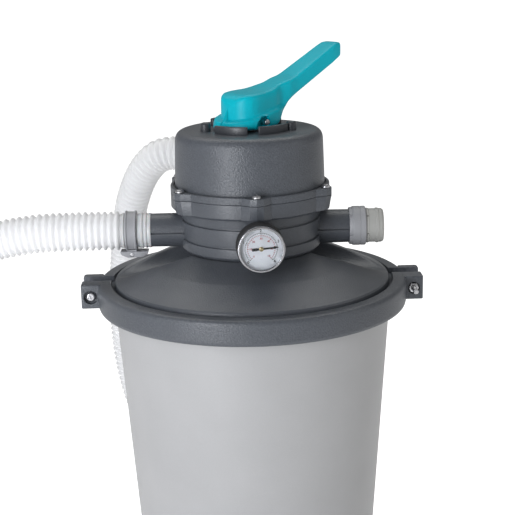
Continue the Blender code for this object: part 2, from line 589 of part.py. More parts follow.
def smooth_route(points):
    """Fine points on a Catmull-Rom curve through a hose's route."""
    knots = [Vector(point) for point in points]
    knots = [2 * knots[0] - knots[1]] + knots + [2 * knots[-1] - knots[-2]]
    fine = []
    for p0, p1, p2, p3 in zip(knots, knots[1:], knots[2:], knots[3:]):
        for index in range(24):
            t = index / 24
            fine.append(0.5 * (2 * p1 + (p2 - p0) * t + (2 * p0 - 5 * p1 + 4 * p2 - p3) * t * t
                               + (3 * p1 - p0 - 3 * p2 + p3) * t ** 3))
    fine.append(knots[-2])
    return fine


def walk(fine, start, end, count):
    """Points spaced evenly between two distances along a fine polyline."""
    marks = [start + (end - start) * index / count for index in range(count + 1)]
    made, gone = [], 0.0
    for first, second in zip(fine, fine[1:]):
        step = (second - first).length
        while len(made) <= count and marks[len(made)] <= gone + step + 1e-9:
            made.append(first.lerp(second, (marks[len(made)] - gone) / step))
        gone += step
        if len(made) > count:
            break
    return made


def make_hose(name, route):
    """The hose as a plain tube, its two moulded cuffs, and the clamps that hold them."""
    fine, length = smooth_route(route), HOSE_LENGTH
    start, end = CUFF_LENGTH + GAP, length - CUFF_LENGTH - GAP
    points = walk(fine, start, end, round((end - start) / HOSE_STEP))
    curve = bpy.data.curves.new(name, "CURVE")
    curve.dimensions = "3D"
    curve.bevel_depth = HOSE_RADIUS * MM
    curve.bevel_resolution = 2
    curve.use_fill_caps = True
    curve.render_resolution_u = 0
    line = curve.splines.new("POLY")
    line.points.add(len(points) - 1)
    for spot, point in zip(line.points, points):
        spot.co = (*(point * MM), 1.0)
    hose = bpy.data.objects.new(name, curve)
    bpy.context.collection.objects.link(hose)
    curve.materials.append(finish(name, HOSE_WHITE, 0.35))
    make_hose_end(name + "_cuff", fine, length - CUFF_LENGTH, length, inner=17.5)
    make_hose_end(name + "_end_clamp", fine, length - 30, length - 17, inner=20.9, outer=22.9)


def make_hose_end(name, fine, start, end, inner, outer=20.5):
    """A ring round the hose's far end between two distances along it."""
    first, last = walk(fine, start, end, 1)
    along = (last - first).normalized()
    ring = pipe(outer, inner, 0, (last - first).length, 16)
    place = Matrix.Translation(first) @ along.to_track_quat("Z", "Y").to_matrix().to_4x4()
    colour = CLIP_GREY if "clamp" in name else HOSE_WHITE
    piece(name, moved(ring, place), colour, 0.4)


def make_port_side(name, turn):
    """Cuff over a port, with its clamp band and thumb screw."""
    way = turn_z(turn) @ at_height(0, 0, PORT_Z) @ ALONG_X
    cuff = pipe(20.5, PORT_RADIUS + GAP, CUFF_START, CUFF_START + CUFF_LENGTH - 1, 20)
    piece(name + "_mouth", moved(cuff, way), HOSE_WHITE, 0.4)
    band = piece(name + "_clamp_band", moved(pipe(23.0, 20.9, 131.5, 144.5, 24), way), CLIP_GREY, 0.45)
    frame = turn_z(turn + math.pi) @ at_height(0, 0, PORT_Z)
    shape(band, "UNION", "neck", moved(box((-143.5, -6, -24), (-132.5, 6, -22)), frame))
    shape(band, "UNION", "housing", moved(box((-152, -8, -31), (-117, 8, -23.3)), frame))
    screw_way = frame @ at_height(-138, 0, -27) @ ALONG_Y
    shape(band, "DIFFERENCE", "screw_way", moved(rod(2.6, -12, 12, 10), screw_way))
    screw = turned([(0, -7.5), (2.2, -7.5), (2.2, 8.3), (4.2, 8.3), (4.2, 11), (3.4, 11.8), (0, 11.8)], 10)
    centre = tuple(frame @ Vector((-138, 0, -27)))
    piece(name + "_clamp_screw", moved(screw, screw_way), STEEL, 0.35, 1.0, at=centre)


def main():
    for old in list(bpy.data.objects):
        bpy.data.objects.remove(old, do_unlink=True)
    make_tank_base()
    make_tank()
    make_drain()
    make_sand_side()
    make_clamp()
    make_dome()
    make_valve_body()
    make_valve_inside()
    make_cover()
    make_lever()
    make_gauge()
    make_waste_closure()
    make_hose("return_hose", RETURN_ROUTE)
    make_hose("pump_hose", PUMP_ROUTE)
    make_port_side("return_hose", math.pi)
    make_port_side("pump_hose", math.pi / 2)


main()
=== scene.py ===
"""Looks of a family-pool sand filter tank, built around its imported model.

Sizes are in millimetres and are turned into metres where a mesh is made.  +Z is up, +X points to the
waste port, -Y to the pressure gauge, and the origin is on the floor under the tank's axis.
"""
import math

import bmesh
import bpy
import numpy as np
from bpy.props import FloatProperty, FloatVectorProperty, IntProperty, PointerProperty
from mathutils import Matrix, Vector


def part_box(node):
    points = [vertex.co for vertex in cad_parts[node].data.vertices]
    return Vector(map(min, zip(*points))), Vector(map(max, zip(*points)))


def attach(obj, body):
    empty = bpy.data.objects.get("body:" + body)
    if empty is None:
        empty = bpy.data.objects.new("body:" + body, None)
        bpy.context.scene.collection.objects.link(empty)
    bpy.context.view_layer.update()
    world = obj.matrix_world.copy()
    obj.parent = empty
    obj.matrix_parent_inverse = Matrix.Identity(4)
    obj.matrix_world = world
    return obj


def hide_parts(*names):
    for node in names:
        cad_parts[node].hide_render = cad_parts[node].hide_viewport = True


bl_info = {
    "name": "Sand Filter Tank",
    "version": (1, 0, 0),
    "blender": (4, 5, 0),
    "location": "View3D > Sidebar > Filter Tank",
    "description": "Builds the tank, clamp ring, dome, six-way valve, gauge and hoses of a pool sand filter",
    "category": "Add Mesh",
}

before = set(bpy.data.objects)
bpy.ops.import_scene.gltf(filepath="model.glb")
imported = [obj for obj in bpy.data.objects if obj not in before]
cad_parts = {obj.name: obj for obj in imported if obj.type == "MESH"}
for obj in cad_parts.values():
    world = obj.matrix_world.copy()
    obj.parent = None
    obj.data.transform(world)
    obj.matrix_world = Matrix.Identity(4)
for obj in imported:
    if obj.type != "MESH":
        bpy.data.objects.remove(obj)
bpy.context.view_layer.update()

MM = 0.001


def corner(node, top):
    """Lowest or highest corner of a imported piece, in millimetres."""
    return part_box(node)[1 if top else 0] / MM


def middle(node):
    return (corner(node, False) + corner(node, True)) / 2


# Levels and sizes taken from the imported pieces
CLAMP_TOP = corner("clamp_front", True).z
CLAMP_BOTTOM = corner("clamp_front", False).z
DOME_TOP = corner("dome", True).z
PORT_Z = middle("waste_cap").z
PIN_Z = middle("handle_pin").z
COVER_TOP = corner("slip_washer", False).z - 0.3
TAB_TOP = corner("valve_cover", True).z
JOINT_Z = middle("cover_o_ring").z
TANK_BOTTOM = corner("tank", False).z
BASE_TOP = corner("tank_base", True).z
BASE_RADIUS = corner("tank_base", True).y
DRAIN_Z = middle("drain_o_ring").z
CAP_END = corner("waste_cap", True).x

# Shared sizes
CLAMP_TURN = math.radians(1.4)
CLAMP_SPLIT = 20.0
CLAMP_RADIUS = 179.0
EAR_REACH = 198.0
EAR_FRONT = 19.5
EAR_REAR = 12.5
BOLT_X = 187.0
BOLT_Z = CLAMP_TOP - 14.5
BOLT_LENGTH = 70.0
BOLT_RADIUS = 3.0
FLANGE_JOINT = CLAMP_TOP - 14.0
SCREW_CIRCLE = 94.0
SCREW_TURN = math.radians(-90 + 4)
TAB_TURN = -90 + 5.5
LEVER_TURN = math.radians(40)
GAUGE_TURN = math.radians(5 - 90)
GAUGE_Z = PORT_Z + 4
GAUGE_FACE = 124.0
NEEDLE_TILT = math.radians(4)
MOUTH_START = 114.8
CUFF_LENGTH = 35.5
BAND_FROM, BAND_TO = 131.5, 144.5
THUMB_DROP = 27.0

RETURN_ROUTE = [
    (-114.8, 0, 558), (-150.6, 0, 558), (-200, 0, 558), (-252, 0, 556), (-305, 1, 546), (-356, 2, 525),
    (-399, 3, 493), (-431, 3, 452), (-450, 2, 404), (-458, 0, 352), (-460, -4, 298), (-459, -12, 244),
    (-457, -28, 190), (-454, -54, 138), (-450, -92, 92), (-444, -142, 55), (-434, -200, 32),
    (-416, -258, 23.6), (-387, -310, 23), (-346, -351, 23), (-295, -378, 23), (-238, -390, 23),
    (-180, -390, 23), (-122, -385, 23), (-64, -380, 23), (-6, -375, 23), (52, -370, 23), (110, -365, 23),
]
PUMP_ROUTE = [
    (0, 114.8, 558), (0, 150.6, 558), (-1, 186, 559), (-11, 219, 567), (-35, 243, 582), (-67, 254, 596),
    (-96, 257, 603), (-121, 264, 598), (-140, 276, 579), (-154, 291, 553), (-165, 307, 521),
    (-172, 320, 484), (-178, 329, 440), (-182, 334, 390), (-183, 336, 340), (-179, 337, 288),
    (-169, 338, 236), (-152, 340, 184), (-126, 343, 134), (-92, 345, 90), (-50, 346, 56), (0, 345, 34),
    (55, 339, 24), (110, 324, 23), (162, 297, 23), (207, 258, 23), (241, 208, 23), (260, 150, 23),
    (265, 90, 23), (258, 32, 23), (246, -20, 23), (234, -72, 23), (222, -124, 23),
]


# ---------------------------------------------------------------- settings

def colour(name, description, value):
    return FloatVectorProperty(name=name, description=description, subtype="COLOR", size=3,
                               min=0, max=1, default=value)


class FILTER_PG_finishes(bpy.types.PropertyGroup):
    slate: colour("Slate plastic", "Dome, clamp ring and valve", (0.083, 0.091, 0.105))
    shell: colour("Tank shell", "Pressure tank", (0.42, 0.42, 0.425))
    teal: colour("Lever", "Selector lever", (0.0, 0.49, 0.60))
    hose: colour("Hose", "Corrugated hoses and their cuffs", (0.90, 0.90, 0.91))
    clip: colour("Clip grey", "Hose clamps and union nut", (0.36, 0.365, 0.385))
    cap: colour("Warm grey", "Waste port's cap", (0.42, 0.42, 0.40))
    steel: colour("Zinc steel", "Bolts, nuts and screws", (0.60, 0.60, 0.62))


class FILTER_PG_hoses(bpy.types.PropertyGroup):
    crest: FloatProperty(name="Crest radius", description="Outer radius of a hose, in mm", default=22.65)
    valley: FloatProperty(name="Valley radius", description="Radius between two crests, in mm", default=18.75)
    pitch: FloatProperty(name="Pitch", description="Distance between two crests, in mm", default=7.4)
    length: FloatProperty(name="Length", description="Real length of each hose, in mm", default=1500.0)
    sides: IntProperty(name="Sides", description="Points round a hose", default=32, min=12)


class FILTER_PG_dome(bpy.types.PropertyGroup):
    scoop: FloatProperty(name="Scoop radius", description="Radius of the hollows under the ports, in mm",
                         default=40.0)
    floor: FloatProperty(name="Scoop floor", description="Height of the hollows' lowest line, in mm",
                         default=504.0)
    ease: FloatProperty(name="Edge radius", description="How softly a hollow meets the slope, in mm",
                        default=1.5)
    wall: FloatProperty(name="Wall", description="Wall thickness, in mm", default=5.0)


class FILTER_PG_stage(bpy.types.PropertyGroup):
    lens: FloatProperty(name="Lens", description="Focal length, in mm", default=91.27)
    spot: FloatVectorProperty(name="Camera", description="Place of the camera", subtype="TRANSLATION",
                              unit="LENGTH", default=(-0.0021, -1.4711, 0.9006))
    yaw: FloatProperty(name="Yaw", description="Turn to the right", subtype="ANGLE", default=0.0061)
    pitch: FloatProperty(name="Pitch", description="Tilt downwards", subtype="ANGLE", default=0.2517)
    roll: FloatProperty(name="Roll", description="Roll of the camera", subtype="ANGLE", default=-0.0217)
    key: FloatProperty(name="Key light", description="Power of the key light", unit="POWER", default=12.5)
    strip: FloatProperty(name="Strip light", description="Power of the narrow light", unit="POWER",
                         default=17.0)
    fill: FloatProperty(name="Fill light", description="Power of the fill light", unit="POWER", default=4.0)
    top: FloatProperty(name="Top light", description="Power of the light above", unit="POWER", default=16.0)
    sky: FloatProperty(name="Surroundings", description="Light from the surroundings", default=0.24)
    floor_glow: FloatProperty(name="Floor glow", description="Light the floor gives the tank", default=0.34)


# ---------------------------------------------------------------- mesh tools

def rounded(points, steps=5):
    """Outline in which a point's third value is the radius of its corner."""
    made = []
    for index, point in enumerate(points):
        here = Vector(point[:2])
        radius = point[2] if len(point) > 2 else 0
        if not radius:
            made.append(tuple(here))
            continue
        before = Vector(points[index - 1][:2]) - here
        after = Vector(points[(index + 1) % len(points)][:2]) - here
        reach = radius / math.tan(before.angle(after) / 2)
        reach = min(reach, 0.48 * before.length, 0.48 * after.length)
        start, end = here + before.normalized() * reach, here + after.normalized() * reach
        for step in range(steps + 1):
            t = step / steps
            made.append(tuple((1 - t) ** 2 * start + 2 * t * (1 - t) * here + t * t * end))
    return made


def filled(points, step):
    """The same outline with long stretches divided."""
    made = [points[0]]
    for first, second in zip(points, points[1:]):
        count = max(1, math.ceil(math.dist(first, second) / step))
        made += [tuple(Vector(first).lerp(Vector(second), index / count)) for index in range(1, count + 1)]
    return made


def lathe(outline, steps=96, bend=None):
    """Turn an (r, z) outline about Z; bend moves single points of the result."""
    made = bmesh.new()
    rings = []
    for index, (radius, height) in enumerate(outline):
        if radius < 1e-6:
            rings.append([made.verts.new((0, 0, height))] * steps)
            continue
        turns = [math.tau * step / steps for step in range(steps)]
        spots = [(radius * math.cos(turn), radius * math.sin(turn), height) for turn in turns]
        rings.append([made.verts.new(bend(index, *spot) if bend else spot) for spot in spots])
    pairs = list(zip(rings, rings[1:]))
    if outline[0][0] > 1e-6 or outline[-1][0] > 1e-6:
        pairs.append((rings[-1], rings[0]))
    for low, high in pairs:
        for step in range(steps):
            after = (step + 1) % steps
            corners = dict.fromkeys((low[step], low[after], high[after], high[step]))
            if len(corners) > 2:
                made.faces.new(corners)
    bmesh.ops.recalc_face_normals(made, faces=made.faces)
    return made


def turned(outline, ease, steps=96):
    """Lathe an outline whose corners are rounded in so many steps."""
    return lathe(rounded(outline, ease), steps)


def rod(radius, low, high, sides=48):
    return lathe([(0, low), (radius, low), (radius, high), (0, high)], sides)


def prism(outline, low, high):
    """An (x, y) outline raised from low to high."""
    made = bmesh.new()
    face = made.faces.new([made.verts.new((x, y, low)) for x, y in outline])
    grown = bmesh.ops.extrude_face_region(made, geom=[face])
    top = [item for item in grown["geom"] if isinstance(item, bmesh.types.BMVert)]
    bmesh.ops.translate(made, verts=top, vec=(0, 0, high - low))
    bmesh.ops.recalc_face_normals(made, faces=made.faces)
    return made


def box(low, high):
    outline = [(low[0], low[1]), (high[0], low[1]), (high[0], high[1]), (low[0], high[1])]
    return prism(outline, low[2], high[2])


def eased(builder, width, segments=3, limit=35):
    """Round the sharp edges of a closed shape."""
    edges = [edge for edge in builder.edges
             if len(edge.link_faces) == 2 and edge.calc_face_angle(0) > math.radians(limit)]
    bmesh.ops.bevel(builder, geom=edges, offset=width, offset_type="OFFSET", segments=segments, profile=0.5,
                    affect="EDGES", clamp_overlap=True)
    return builder


def moved(builder, matrix):
    bmesh.ops.transform(builder, matrix=matrix, verts=builder.verts)
    return builder


def as_object(builder, name="tool"):
    mesh = bpy.data.meshes.new(name)
    builder.to_mesh(mesh)
    builder.free()
    made = bpy.data.objects.new(name, mesh)
    bpy.context.collection.objects.link(made)
    return made


def as_builder(made):
    """Take an object's final mesh and remove the object."""
    final = made.evaluated_get(bpy.context.evaluated_depsgraph_get())
    builder = bmesh.new()
    builder.from_mesh(final.to_mesh())
    final.to_mesh_clear()
    bpy.data.objects.remove(made)
    return builder


def carved(builder, operation, *tools):
    """Cut (DIFFERENCE), add (UNION) or keep (INTERSECT) with closed shapes, one after another."""
    base = as_object(builder)
    cutters = [as_object(tool) for tool in tools]
    for cutter in cutters:
        step = base.modifiers.new("carve", "BOOLEAN")
        step.operation, step.solver, step.object = operation, "EXACT", cutter
    made = as_builder(base)
    for cutter in cutters:
        bpy.data.objects.remove(cutter)
    if not made.faces:
        raise ValueError("nothing is left after " + operation)
    return made


def together(*builders):
    """Several closed shapes as one."""
    made = bmesh.new()
    for builder in builders:
        mesh = bpy.data.meshes.new("part")
        builder.to_mesh(mesh)
        builder.free()
        made.from_mesh(mesh)
        bpy.data.meshes.remove(mesh)
    return made


def turn_z(angle):
    return Matrix.Rotation(angle, 4, "Z")


ALONG_X = Matrix.Rotation(math.radians(90), 4, "Y")
ALONG_Y = Matrix.Rotation(math.radians(-90), 4, "X")
UPRIGHT = Matrix.Rotation(math.radians(90), 4, "X")


def at(x, y, z):
    return Matrix.Translation((x, y, z))


def port_way(turn):
    """Place of a port: its own Z runs out of the valve."""
    return turn_z(turn) @ at(0, 0, PORT_Z) @ ALONG_X


def show(name, builder, material, body, *nodes, sharp=38):
    """Make the visible piece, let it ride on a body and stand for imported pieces."""
    bmesh.ops.scale(builder, verts=builder.verts, vec=(MM, MM, MM))
    piece = as_object(builder, name)
    piece.data.shade_smooth()
    piece.data.set_sharp_from_angle(angle=math.radians(sharp))
    piece.data.materials.append(bpy.data.materials[material])
    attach(piece, body)
    if nodes:
        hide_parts(*nodes)
    return piece


# ---------------------------------------------------------------- materials

def group(name, inputs, outputs):
    """A shader node group with named sockets."""
    made = bpy.data.node_groups.new(name, "ShaderNodeTree")
    for label, kind, value in inputs:
        socket = made.interface.new_socket(name=label, in_out="INPUT", socket_type="NodeSocket" + kind)
        socket.default_value = value
    for label, kind in outputs:
        made.interface.new_socket(name=label, in_out="OUTPUT", socket_type="NodeSocket" + kind)
    return made, made.nodes.new("NodeGroupInput"), made.nodes.new("NodeGroupOutput")


def feed(tree, made, links):
    """Link or set a node's inputs; a value is an output socket or a constant."""
    for key, value in links.items():
        if isinstance(value, bpy.types.NodeSocket):
            tree.links.new(value, made.inputs[key])
        else:
            made.inputs[key].default_value = value
    return made


def node(tree, kind, links=None, **settings):
    """Add a shader node."""
    made = tree.nodes.new("ShaderNode" + kind)
    for key, value in settings.items():
        setattr(made, key, value)
    return feed(tree, made, links or {})


def spread(tree, value, low, high, to_low=0.0, to_high=1.0):
    """Map a value from one range to another, clamped."""
    links = {"Value": value, "From Min": low, "From Max": high, "To Min": to_low, "To Max": to_high}
    return node(tree, "MapRange", links).outputs["Result"]


def maths(tree, operation, first, second):
    return node(tree, "Math", {0: first, 1: second}, operation=operation).outputs[0]


def local(tree):
    """The object's own coordinates."""
    return node(tree, "TexCoord").outputs["Object"]


def noise(tree, place, scale, detail=2.0):
    return node(tree, "TexNoise", {"Vector": place, "Scale": scale, "Detail": detail}).outputs[0]


def make_groups():
    """Effects that several materials share."""
    tree, given, result = group("colour_drift", [("Colour", "Color", (1, 1, 1, 1)), ("Size", "Float", 20.0),
                                                 ("Amount", "Float", 0.1)], [("Colour", "Color")])
    cloud = noise(tree, local(tree), given.outputs["Size"], 4.0)
    shade = maths(tree, "SUBTRACT", spread(tree, cloud, 0.3, 0.7, 0.0, 2.0), 1.0)
    gain = maths(tree, "ADD", maths(tree, "MULTIPLY", shade, given.outputs["Amount"]), 1.0)
    tint = node(tree, "VectorMath", {0: given.outputs["Colour"], "Scale": gain}, operation="SCALE")
    tree.links.new(tint.outputs[0], result.inputs["Colour"])

    tree, given, result = group("moulded_grain", [("Size", "Float", 900.0), ("Drift", "Float", 60.0)],
                                [("Height", "Float"), ("Mask", "Float")])
    place = local(tree)
    pebble = node(tree, "TexVoronoi", {"Vector": place, "Scale": given.outputs["Size"], "Smoothness": 0.6},
                  feature="SMOOTH_F1").outputs["Distance"]
    fine = noise(tree, place, given.outputs["Size"], 3.0)
    waves = noise(tree, place, given.outputs["Drift"])
    height = maths(tree, "ADD", maths(tree, "MULTIPLY", pebble, -0.8), fine)
    height = maths(tree, "ADD", height, maths(tree, "MULTIPLY", waves, 0.35))
    tree.links.new(height, result.inputs["Height"])
    tree.links.new(fine, result.inputs["Mask"])

    tree, given, result = group("edge_wear", [("Amount", "Float", 0.5), ("Size", "Float", 300.0)],
                                [("Mask", "Float")])
    ridge = spread(tree, node(tree, "NewGeometry").outputs["Pointiness"], 0.52, 0.60)
    broken = noise(tree, local(tree), given.outputs["Size"], 3.0)
    worn = maths(tree, "MULTIPLY", ridge, spread(tree, broken, 0.35, 0.65))
    tree.links.new(maths(tree, "MULTIPLY", worn, given.outputs["Amount"]), result.inputs["Mask"])

    tree, given, result = group("settled_dust", [("Amount", "Float", 0.2), ("Size", "Float", 35.0)],
                                [("Mask", "Float")])
    up = node(tree, "SeparateXYZ", {0: node(tree, "NewGeometry").outputs["Normal"]}).outputs["Z"]
    patch = noise(tree, local(tree), given.outputs["Size"], 6.0)
    lying = maths(tree, "MULTIPLY", spread(tree, up, 0.55, 1.0), spread(tree, patch, 0.4, 0.75))
    tree.links.new(maths(tree, "MULTIPLY", lying, given.outputs["Amount"]), result.inputs["Mask"])


def effect(tree, name, links):
    """Place a shared effect in a material and hand back its outputs."""
    made = tree.nodes.new("ShaderNodeGroup")
    made.node_tree = bpy.data.node_groups[name]
    return feed(tree, made, links).outputs


def blank(name, **values):
    """A Principled material with constant values set on its own sockets."""
    made = bpy.data.materials.new(name)
    made.use_nodes = True
    shader = made.node_tree.nodes["Principled BSDF"]
    for key, value in values.items():
        shader.inputs[key.replace("_", " ")].default_value = value
    return made, made.node_tree, shader


def tree_mix(tree, factor, first, second):
    """Mix two colours."""
    made = tree.nodes.new("ShaderNodeMix")
    made.data_type = "RGBA"
    return feed(tree, made, {0: factor, 6: first, 7: second}).outputs[2]


def moulded(name, tint, roughness, grain=900.0, depth=0.00012, wear=0.35, dust=0.12, drift=0.05, speck=0.03,
            **values):
    """Moulded plastic with grain, worn edges, a little dust and slow changes of shade."""
    made, tree, shader = blank(name, **values)
    base = effect(tree, "colour_drift", {"Colour": (*tint, 1), "Size": 14.0, "Amount": drift})["Colour"]
    worn = effect(tree, "edge_wear", {"Amount": wear})["Mask"]
    light = tuple(min(1.0, part * 1.5 + 0.03) for part in tint)
    mixed = tree_mix(tree, worn, base, (*light, 1))
    lying = effect(tree, "settled_dust", {"Amount": dust})["Mask"]
    skin = effect(tree, "moulded_grain", {"Size": grain})
    gain = spread(tree, skin["Mask"], 0.35, 0.65, 1 - speck, 1 + speck)
    mixed = node(tree, "VectorMath", {0: mixed, "Scale": gain}, operation="SCALE").outputs[0]
    tree.links.new(tree_mix(tree, lying, mixed, (0.52, 0.51, 0.49, 1)), shader.inputs["Base Color"])
    rough = spread(tree, skin["Mask"], 0.3, 0.7, roughness - 0.06, roughness + 0.06)
    tree.links.new(maths(tree, "ADD", rough, maths(tree, "MULTIPLY", lying, 0.5)), shader.inputs["Roughness"])
    bump = node(tree, "Bump", {"Height": skin["Height"], "Distance": depth, "Strength": 1.0})
    tree.links.new(bump.outputs[0], shader.inputs["Normal"])
    return made


def metal(name, tint, roughness, streaks=240.0, **values):
    """Plated or turned metal with fine streaks and stains."""
    made, tree, shader = blank(name, Metallic=1.0, **values)
    stretched = node(tree, "Mapping", {"Vector": local(tree), "Scale": (1.0, 1.0, 14.0)}).outputs[0]
    lines = noise(tree, stretched, streaks, 4.0)
    base = effect(tree, "colour_drift", {"Colour": (*tint, 1), "Size": 180.0, "Amount": 0.12})["Colour"]
    tree.links.new(base, shader.inputs["Base Color"])
    rough = spread(tree, lines, 0.3, 0.7, roughness - 0.07, roughness + 0.1)
    tree.links.new(rough, shader.inputs["Roughness"])
    bump = node(tree, "Bump", {"Height": lines, "Distance": 0.00003, "Strength": 0.6})
    tree.links.new(bump.outputs[0], shader.inputs["Normal"])
    return made


def make_materials(finishes):
    slate, shell = tuple(finishes.slate), tuple(finishes.shell)
    moulded("slate_grained", slate, 0.36, grain=560.0, depth=0.00036, wear=0.5, dust=0.04, speck=0.12)
    moulded("slate_smooth", slate, 0.34, grain=700.0, depth=0.00020, wear=0.5, dust=0.04, speck=0.08)
    # Painted shade: slate darkened to 0.55 for the selector stops. It stands in for the dark their semi-gloss
    # faces reflect; they are the same plastic as the bell.
    moulded("slate_painted_shade", tuple(part * 0.55 for part in slate), 0.34, grain=900.0, depth=0.00006, wear=0.6,
            dust=0.03)
    moulded("shell_satin", shell, 0.40, grain=1500.0, depth=0.00004, wear=0.2, dust=0.05, drift=0.03)
    moulded("lever_teal", tuple(finishes.teal), 0.36, grain=1100.0, depth=0.00005, wear=0.1, dust=0.02,
            Specular_IOR_Level=0.18)
    moulded("hose_milky", tuple(finishes.hose), 0.33, grain=1500.0, depth=0.00003, wear=0.0, dust=0.06,
            Subsurface_Weight=0.8, Subsurface_Scale=0.016, Subsurface_Radius=(1.0, 1.0, 1.0))
    moulded("cuff_milky", tuple(0.72 * part for part in finishes.hose), 0.33, grain=1500.0, depth=0.00003,
            wear=0.0, dust=0.06, Subsurface_Weight=0.1, Subsurface_Scale=0.002)
    moulded("clip_grey", tuple(finishes.clip), 0.45, grain=1200.0, depth=0.00005, wear=0.4)
    moulded("cap_warm", tuple(finishes.cap), 0.45, grain=1200.0, depth=0.00005, wear=0.3)
    moulded("white_abs", (0.74, 0.74, 0.72), 0.4, grain=1400.0, depth=0.00003, wear=0.1)
    moulded("seal_black", (0.018, 0.018, 0.019), 0.6, grain=1600.0, depth=0.00006, wear=0.3)
    moulded("print_black", (0.012, 0.012, 0.013), 0.45, grain=1500.0, depth=0.00001, wear=0.0, dust=0.0)
    moulded("print_red", (0.42, 0.03, 0.03), 0.45, grain=1500.0, depth=0.00001, wear=0.0, dust=0.0)
    moulded("dial_white", (0.82, 0.84, 0.86), 0.5, grain=1500.0, depth=0.00001, wear=0.0, dust=0.0)
    metal("zinc_plate", tuple(finishes.steel), 0.30)
    metal("spring_wire", (0.42, 0.42, 0.43), 0.35)
    metal("bezel_chrome", (0.44, 0.44, 0.46), 0.16, streaks=90.0)
    metal("turned_brass", (0.42, 0.35, 0.20), 0.30)
    tree, shader = blank("lens_glass", Base_Color=(0.97, 0.98, 1.0, 1), Transmission_Weight=1.0, IOR=1.25)[1:]
    haze = noise(tree, local(tree), 160.0)
    tree.links.new(spread(tree, haze, 0.3, 0.8, 0.01, 0.05), shader.inputs["Roughness"])


# ---------------------------------------------------------------- stage

class FILTER_OT_stage(bpy.types.Operator):
    """Camera, floor and soft studio light."""
    bl_idname = "filter_tank.stage"
    bl_label = "Stage"

    def execute(self, context):
        stage = context.scene.filter_stage
        scene = context.scene
        scene.view_settings.view_transform = "Standard"
        level = math.cos(stage.pitch)
        forward = Vector((math.sin(stage.yaw) * level, math.cos(stage.yaw) * level, -math.sin(stage.pitch)))
        right = Vector((math.cos(stage.yaw), -math.sin(stage.yaw), 0))
        up = right.cross(forward)
        across = math.cos(stage.roll) * right + math.sin(stage.roll) * up
        upward = -math.sin(stage.roll) * right + math.cos(stage.roll) * up
        view = bpy.data.cameras.new("view")
        view.lens = stage.lens
        camera = bpy.data.objects.new("view", view)
        context.collection.objects.link(camera)
        camera.matrix_world = Matrix.Translation(stage.spot) @ Matrix(
            (across, upward, -forward)).transposed().to_4x4()
        scene.camera = camera

        half = 60000
        floor = as_object(moved(prism([(-half, -half), (half, -half), (half, half), (-half, half)], -20, 0),
                                Matrix.Scale(MM, 4)), "studio_floor")
        floor_finish, tree, shader = blank("floor_white", Roughness=0.8)
        pale = effect(tree, "colour_drift", {"Colour": (0.93, 0.93, 0.93, 1), "Size": 2.0, "Amount": 0.004})
        tree.links.new(pale["Colour"], shader.inputs["Base Color"])
        tree.links.new(pale["Colour"], shader.inputs["Emission Color"])
        seen = node(tree, "LightPath").outputs["Is Camera Ray"]
        tree.links.new(spread(tree, seen, 0, 1, stage.floor_glow, 1.0), shader.inputs["Emission Strength"])
        floor.data.materials.append(floor_finish)

        world = bpy.data.worlds.new("studio")
        world.use_nodes = True
        sky = world.node_tree.nodes["Background"]
        sky.inputs["Color"].default_value = (1, 1, 1, 1)
        seen = node(world.node_tree, "LightPath").outputs["Is Camera Ray"]
        world.node_tree.links.new(spread(world.node_tree, seen, 0, 1, stage.sky, 1.0), sky.inputs["Strength"])
        scene.world = world

        centre = Vector((0, 0, 0.55))
        for name, power, width, height, spot in (("key", stage.key, 1.5, 1.3, (-1.25, -1.6, 1.25)),
                                                 ("strip", stage.strip, 0.28, 1.15, (-1.0, -1.7, 0.62)),
                                                 ("fill", stage.fill, 1.4, 1.0, (1.9, -0.6, 1.3)),
                                                 ("top", stage.top, 2.4, 1.1, (-0.1, 0.9, 2.35))):
            lamp = bpy.data.lights.new(name, "AREA")
            lamp.shape = "RECTANGLE"
            lamp.energy, lamp.size, lamp.size_y = power, width, height
            lamp.color = (0.94, 0.96, 1.0) if name in ("key", "strip") else (1.0, 1.0, 0.98)
            holder = bpy.data.objects.new(name, lamp)
            context.collection.objects.link(holder)
            holder.location = spot
            holder.rotation_euler = (centre - holder.location).to_track_quat("-Z", "Y").to_euler()
        return {"FINISHED"}


# ---------------------------------------------------------------- hoses

def smooth_route(points):
    """Fine points on a Catmull-Rom curve through a hose's route."""
    knots = [Vector(point) for point in points]
    knots = [2 * knots[0] - knots[1]] + knots + [2 * knots[-1] - knots[-2]]
    fine = []
    for p0, p1, p2, p3 in zip(knots, knots[1:], knots[2:], knots[3:]):
        for index in range(24):
            t = index / 24
            fine.append(0.5 * (2 * p1 + (p2 - p0) * t + (2 * p0 - 5 * p1 + 4 * p2 - p3) * t * t
                               + (3 * p1 - p0 - 3 * p2 + p3) * t ** 3))
    fine.append(knots[-2])
    return fine


def walk(fine, marks):
    """Points at given distances along a fine polyline."""
    spots = np.array(fine)
    gone = np.concatenate([[0], np.cumsum(np.linalg.norm(np.diff(spots, axis=0), axis=1))])
    made = np.stack([np.interp(marks, gone, spots[:, axis]) for axis in range(3)], axis=1)
    return [Vector(spot) for spot in made]


def swept(points, radii, sides):
    """A round tube through points with its own radius at each, closed at both ends."""
    made = bmesh.new()
    ways = [(points[min(index + 1, len(points) - 1)] - points[max(index - 1, 0)]).normalized()
            for index in range(len(points))]
    side = ways[0].orthogonal().normalized()
    rings = []
    for point, way, radius in zip(points, ways, radii):
        side = (side - way * side.dot(way)).normalized()
        other = way.cross(side)
        rings.append([made.verts.new(point + radius * (math.cos(turn) * side + math.sin(turn) * other))
                      for turn in (math.tau * step / sides for step in range(sides))])
    for low, high in zip(rings, rings[1:]):
        for step in range(sides):
            after = (step + 1) % sides
            made.faces.new((low[step], low[after], high[after], high[step]))
    made.faces.new(rings[0][::-1])
    made.faces.new(rings[-1])
    bmesh.ops.recalc_face_normals(made, faces=made.faces)
    return made


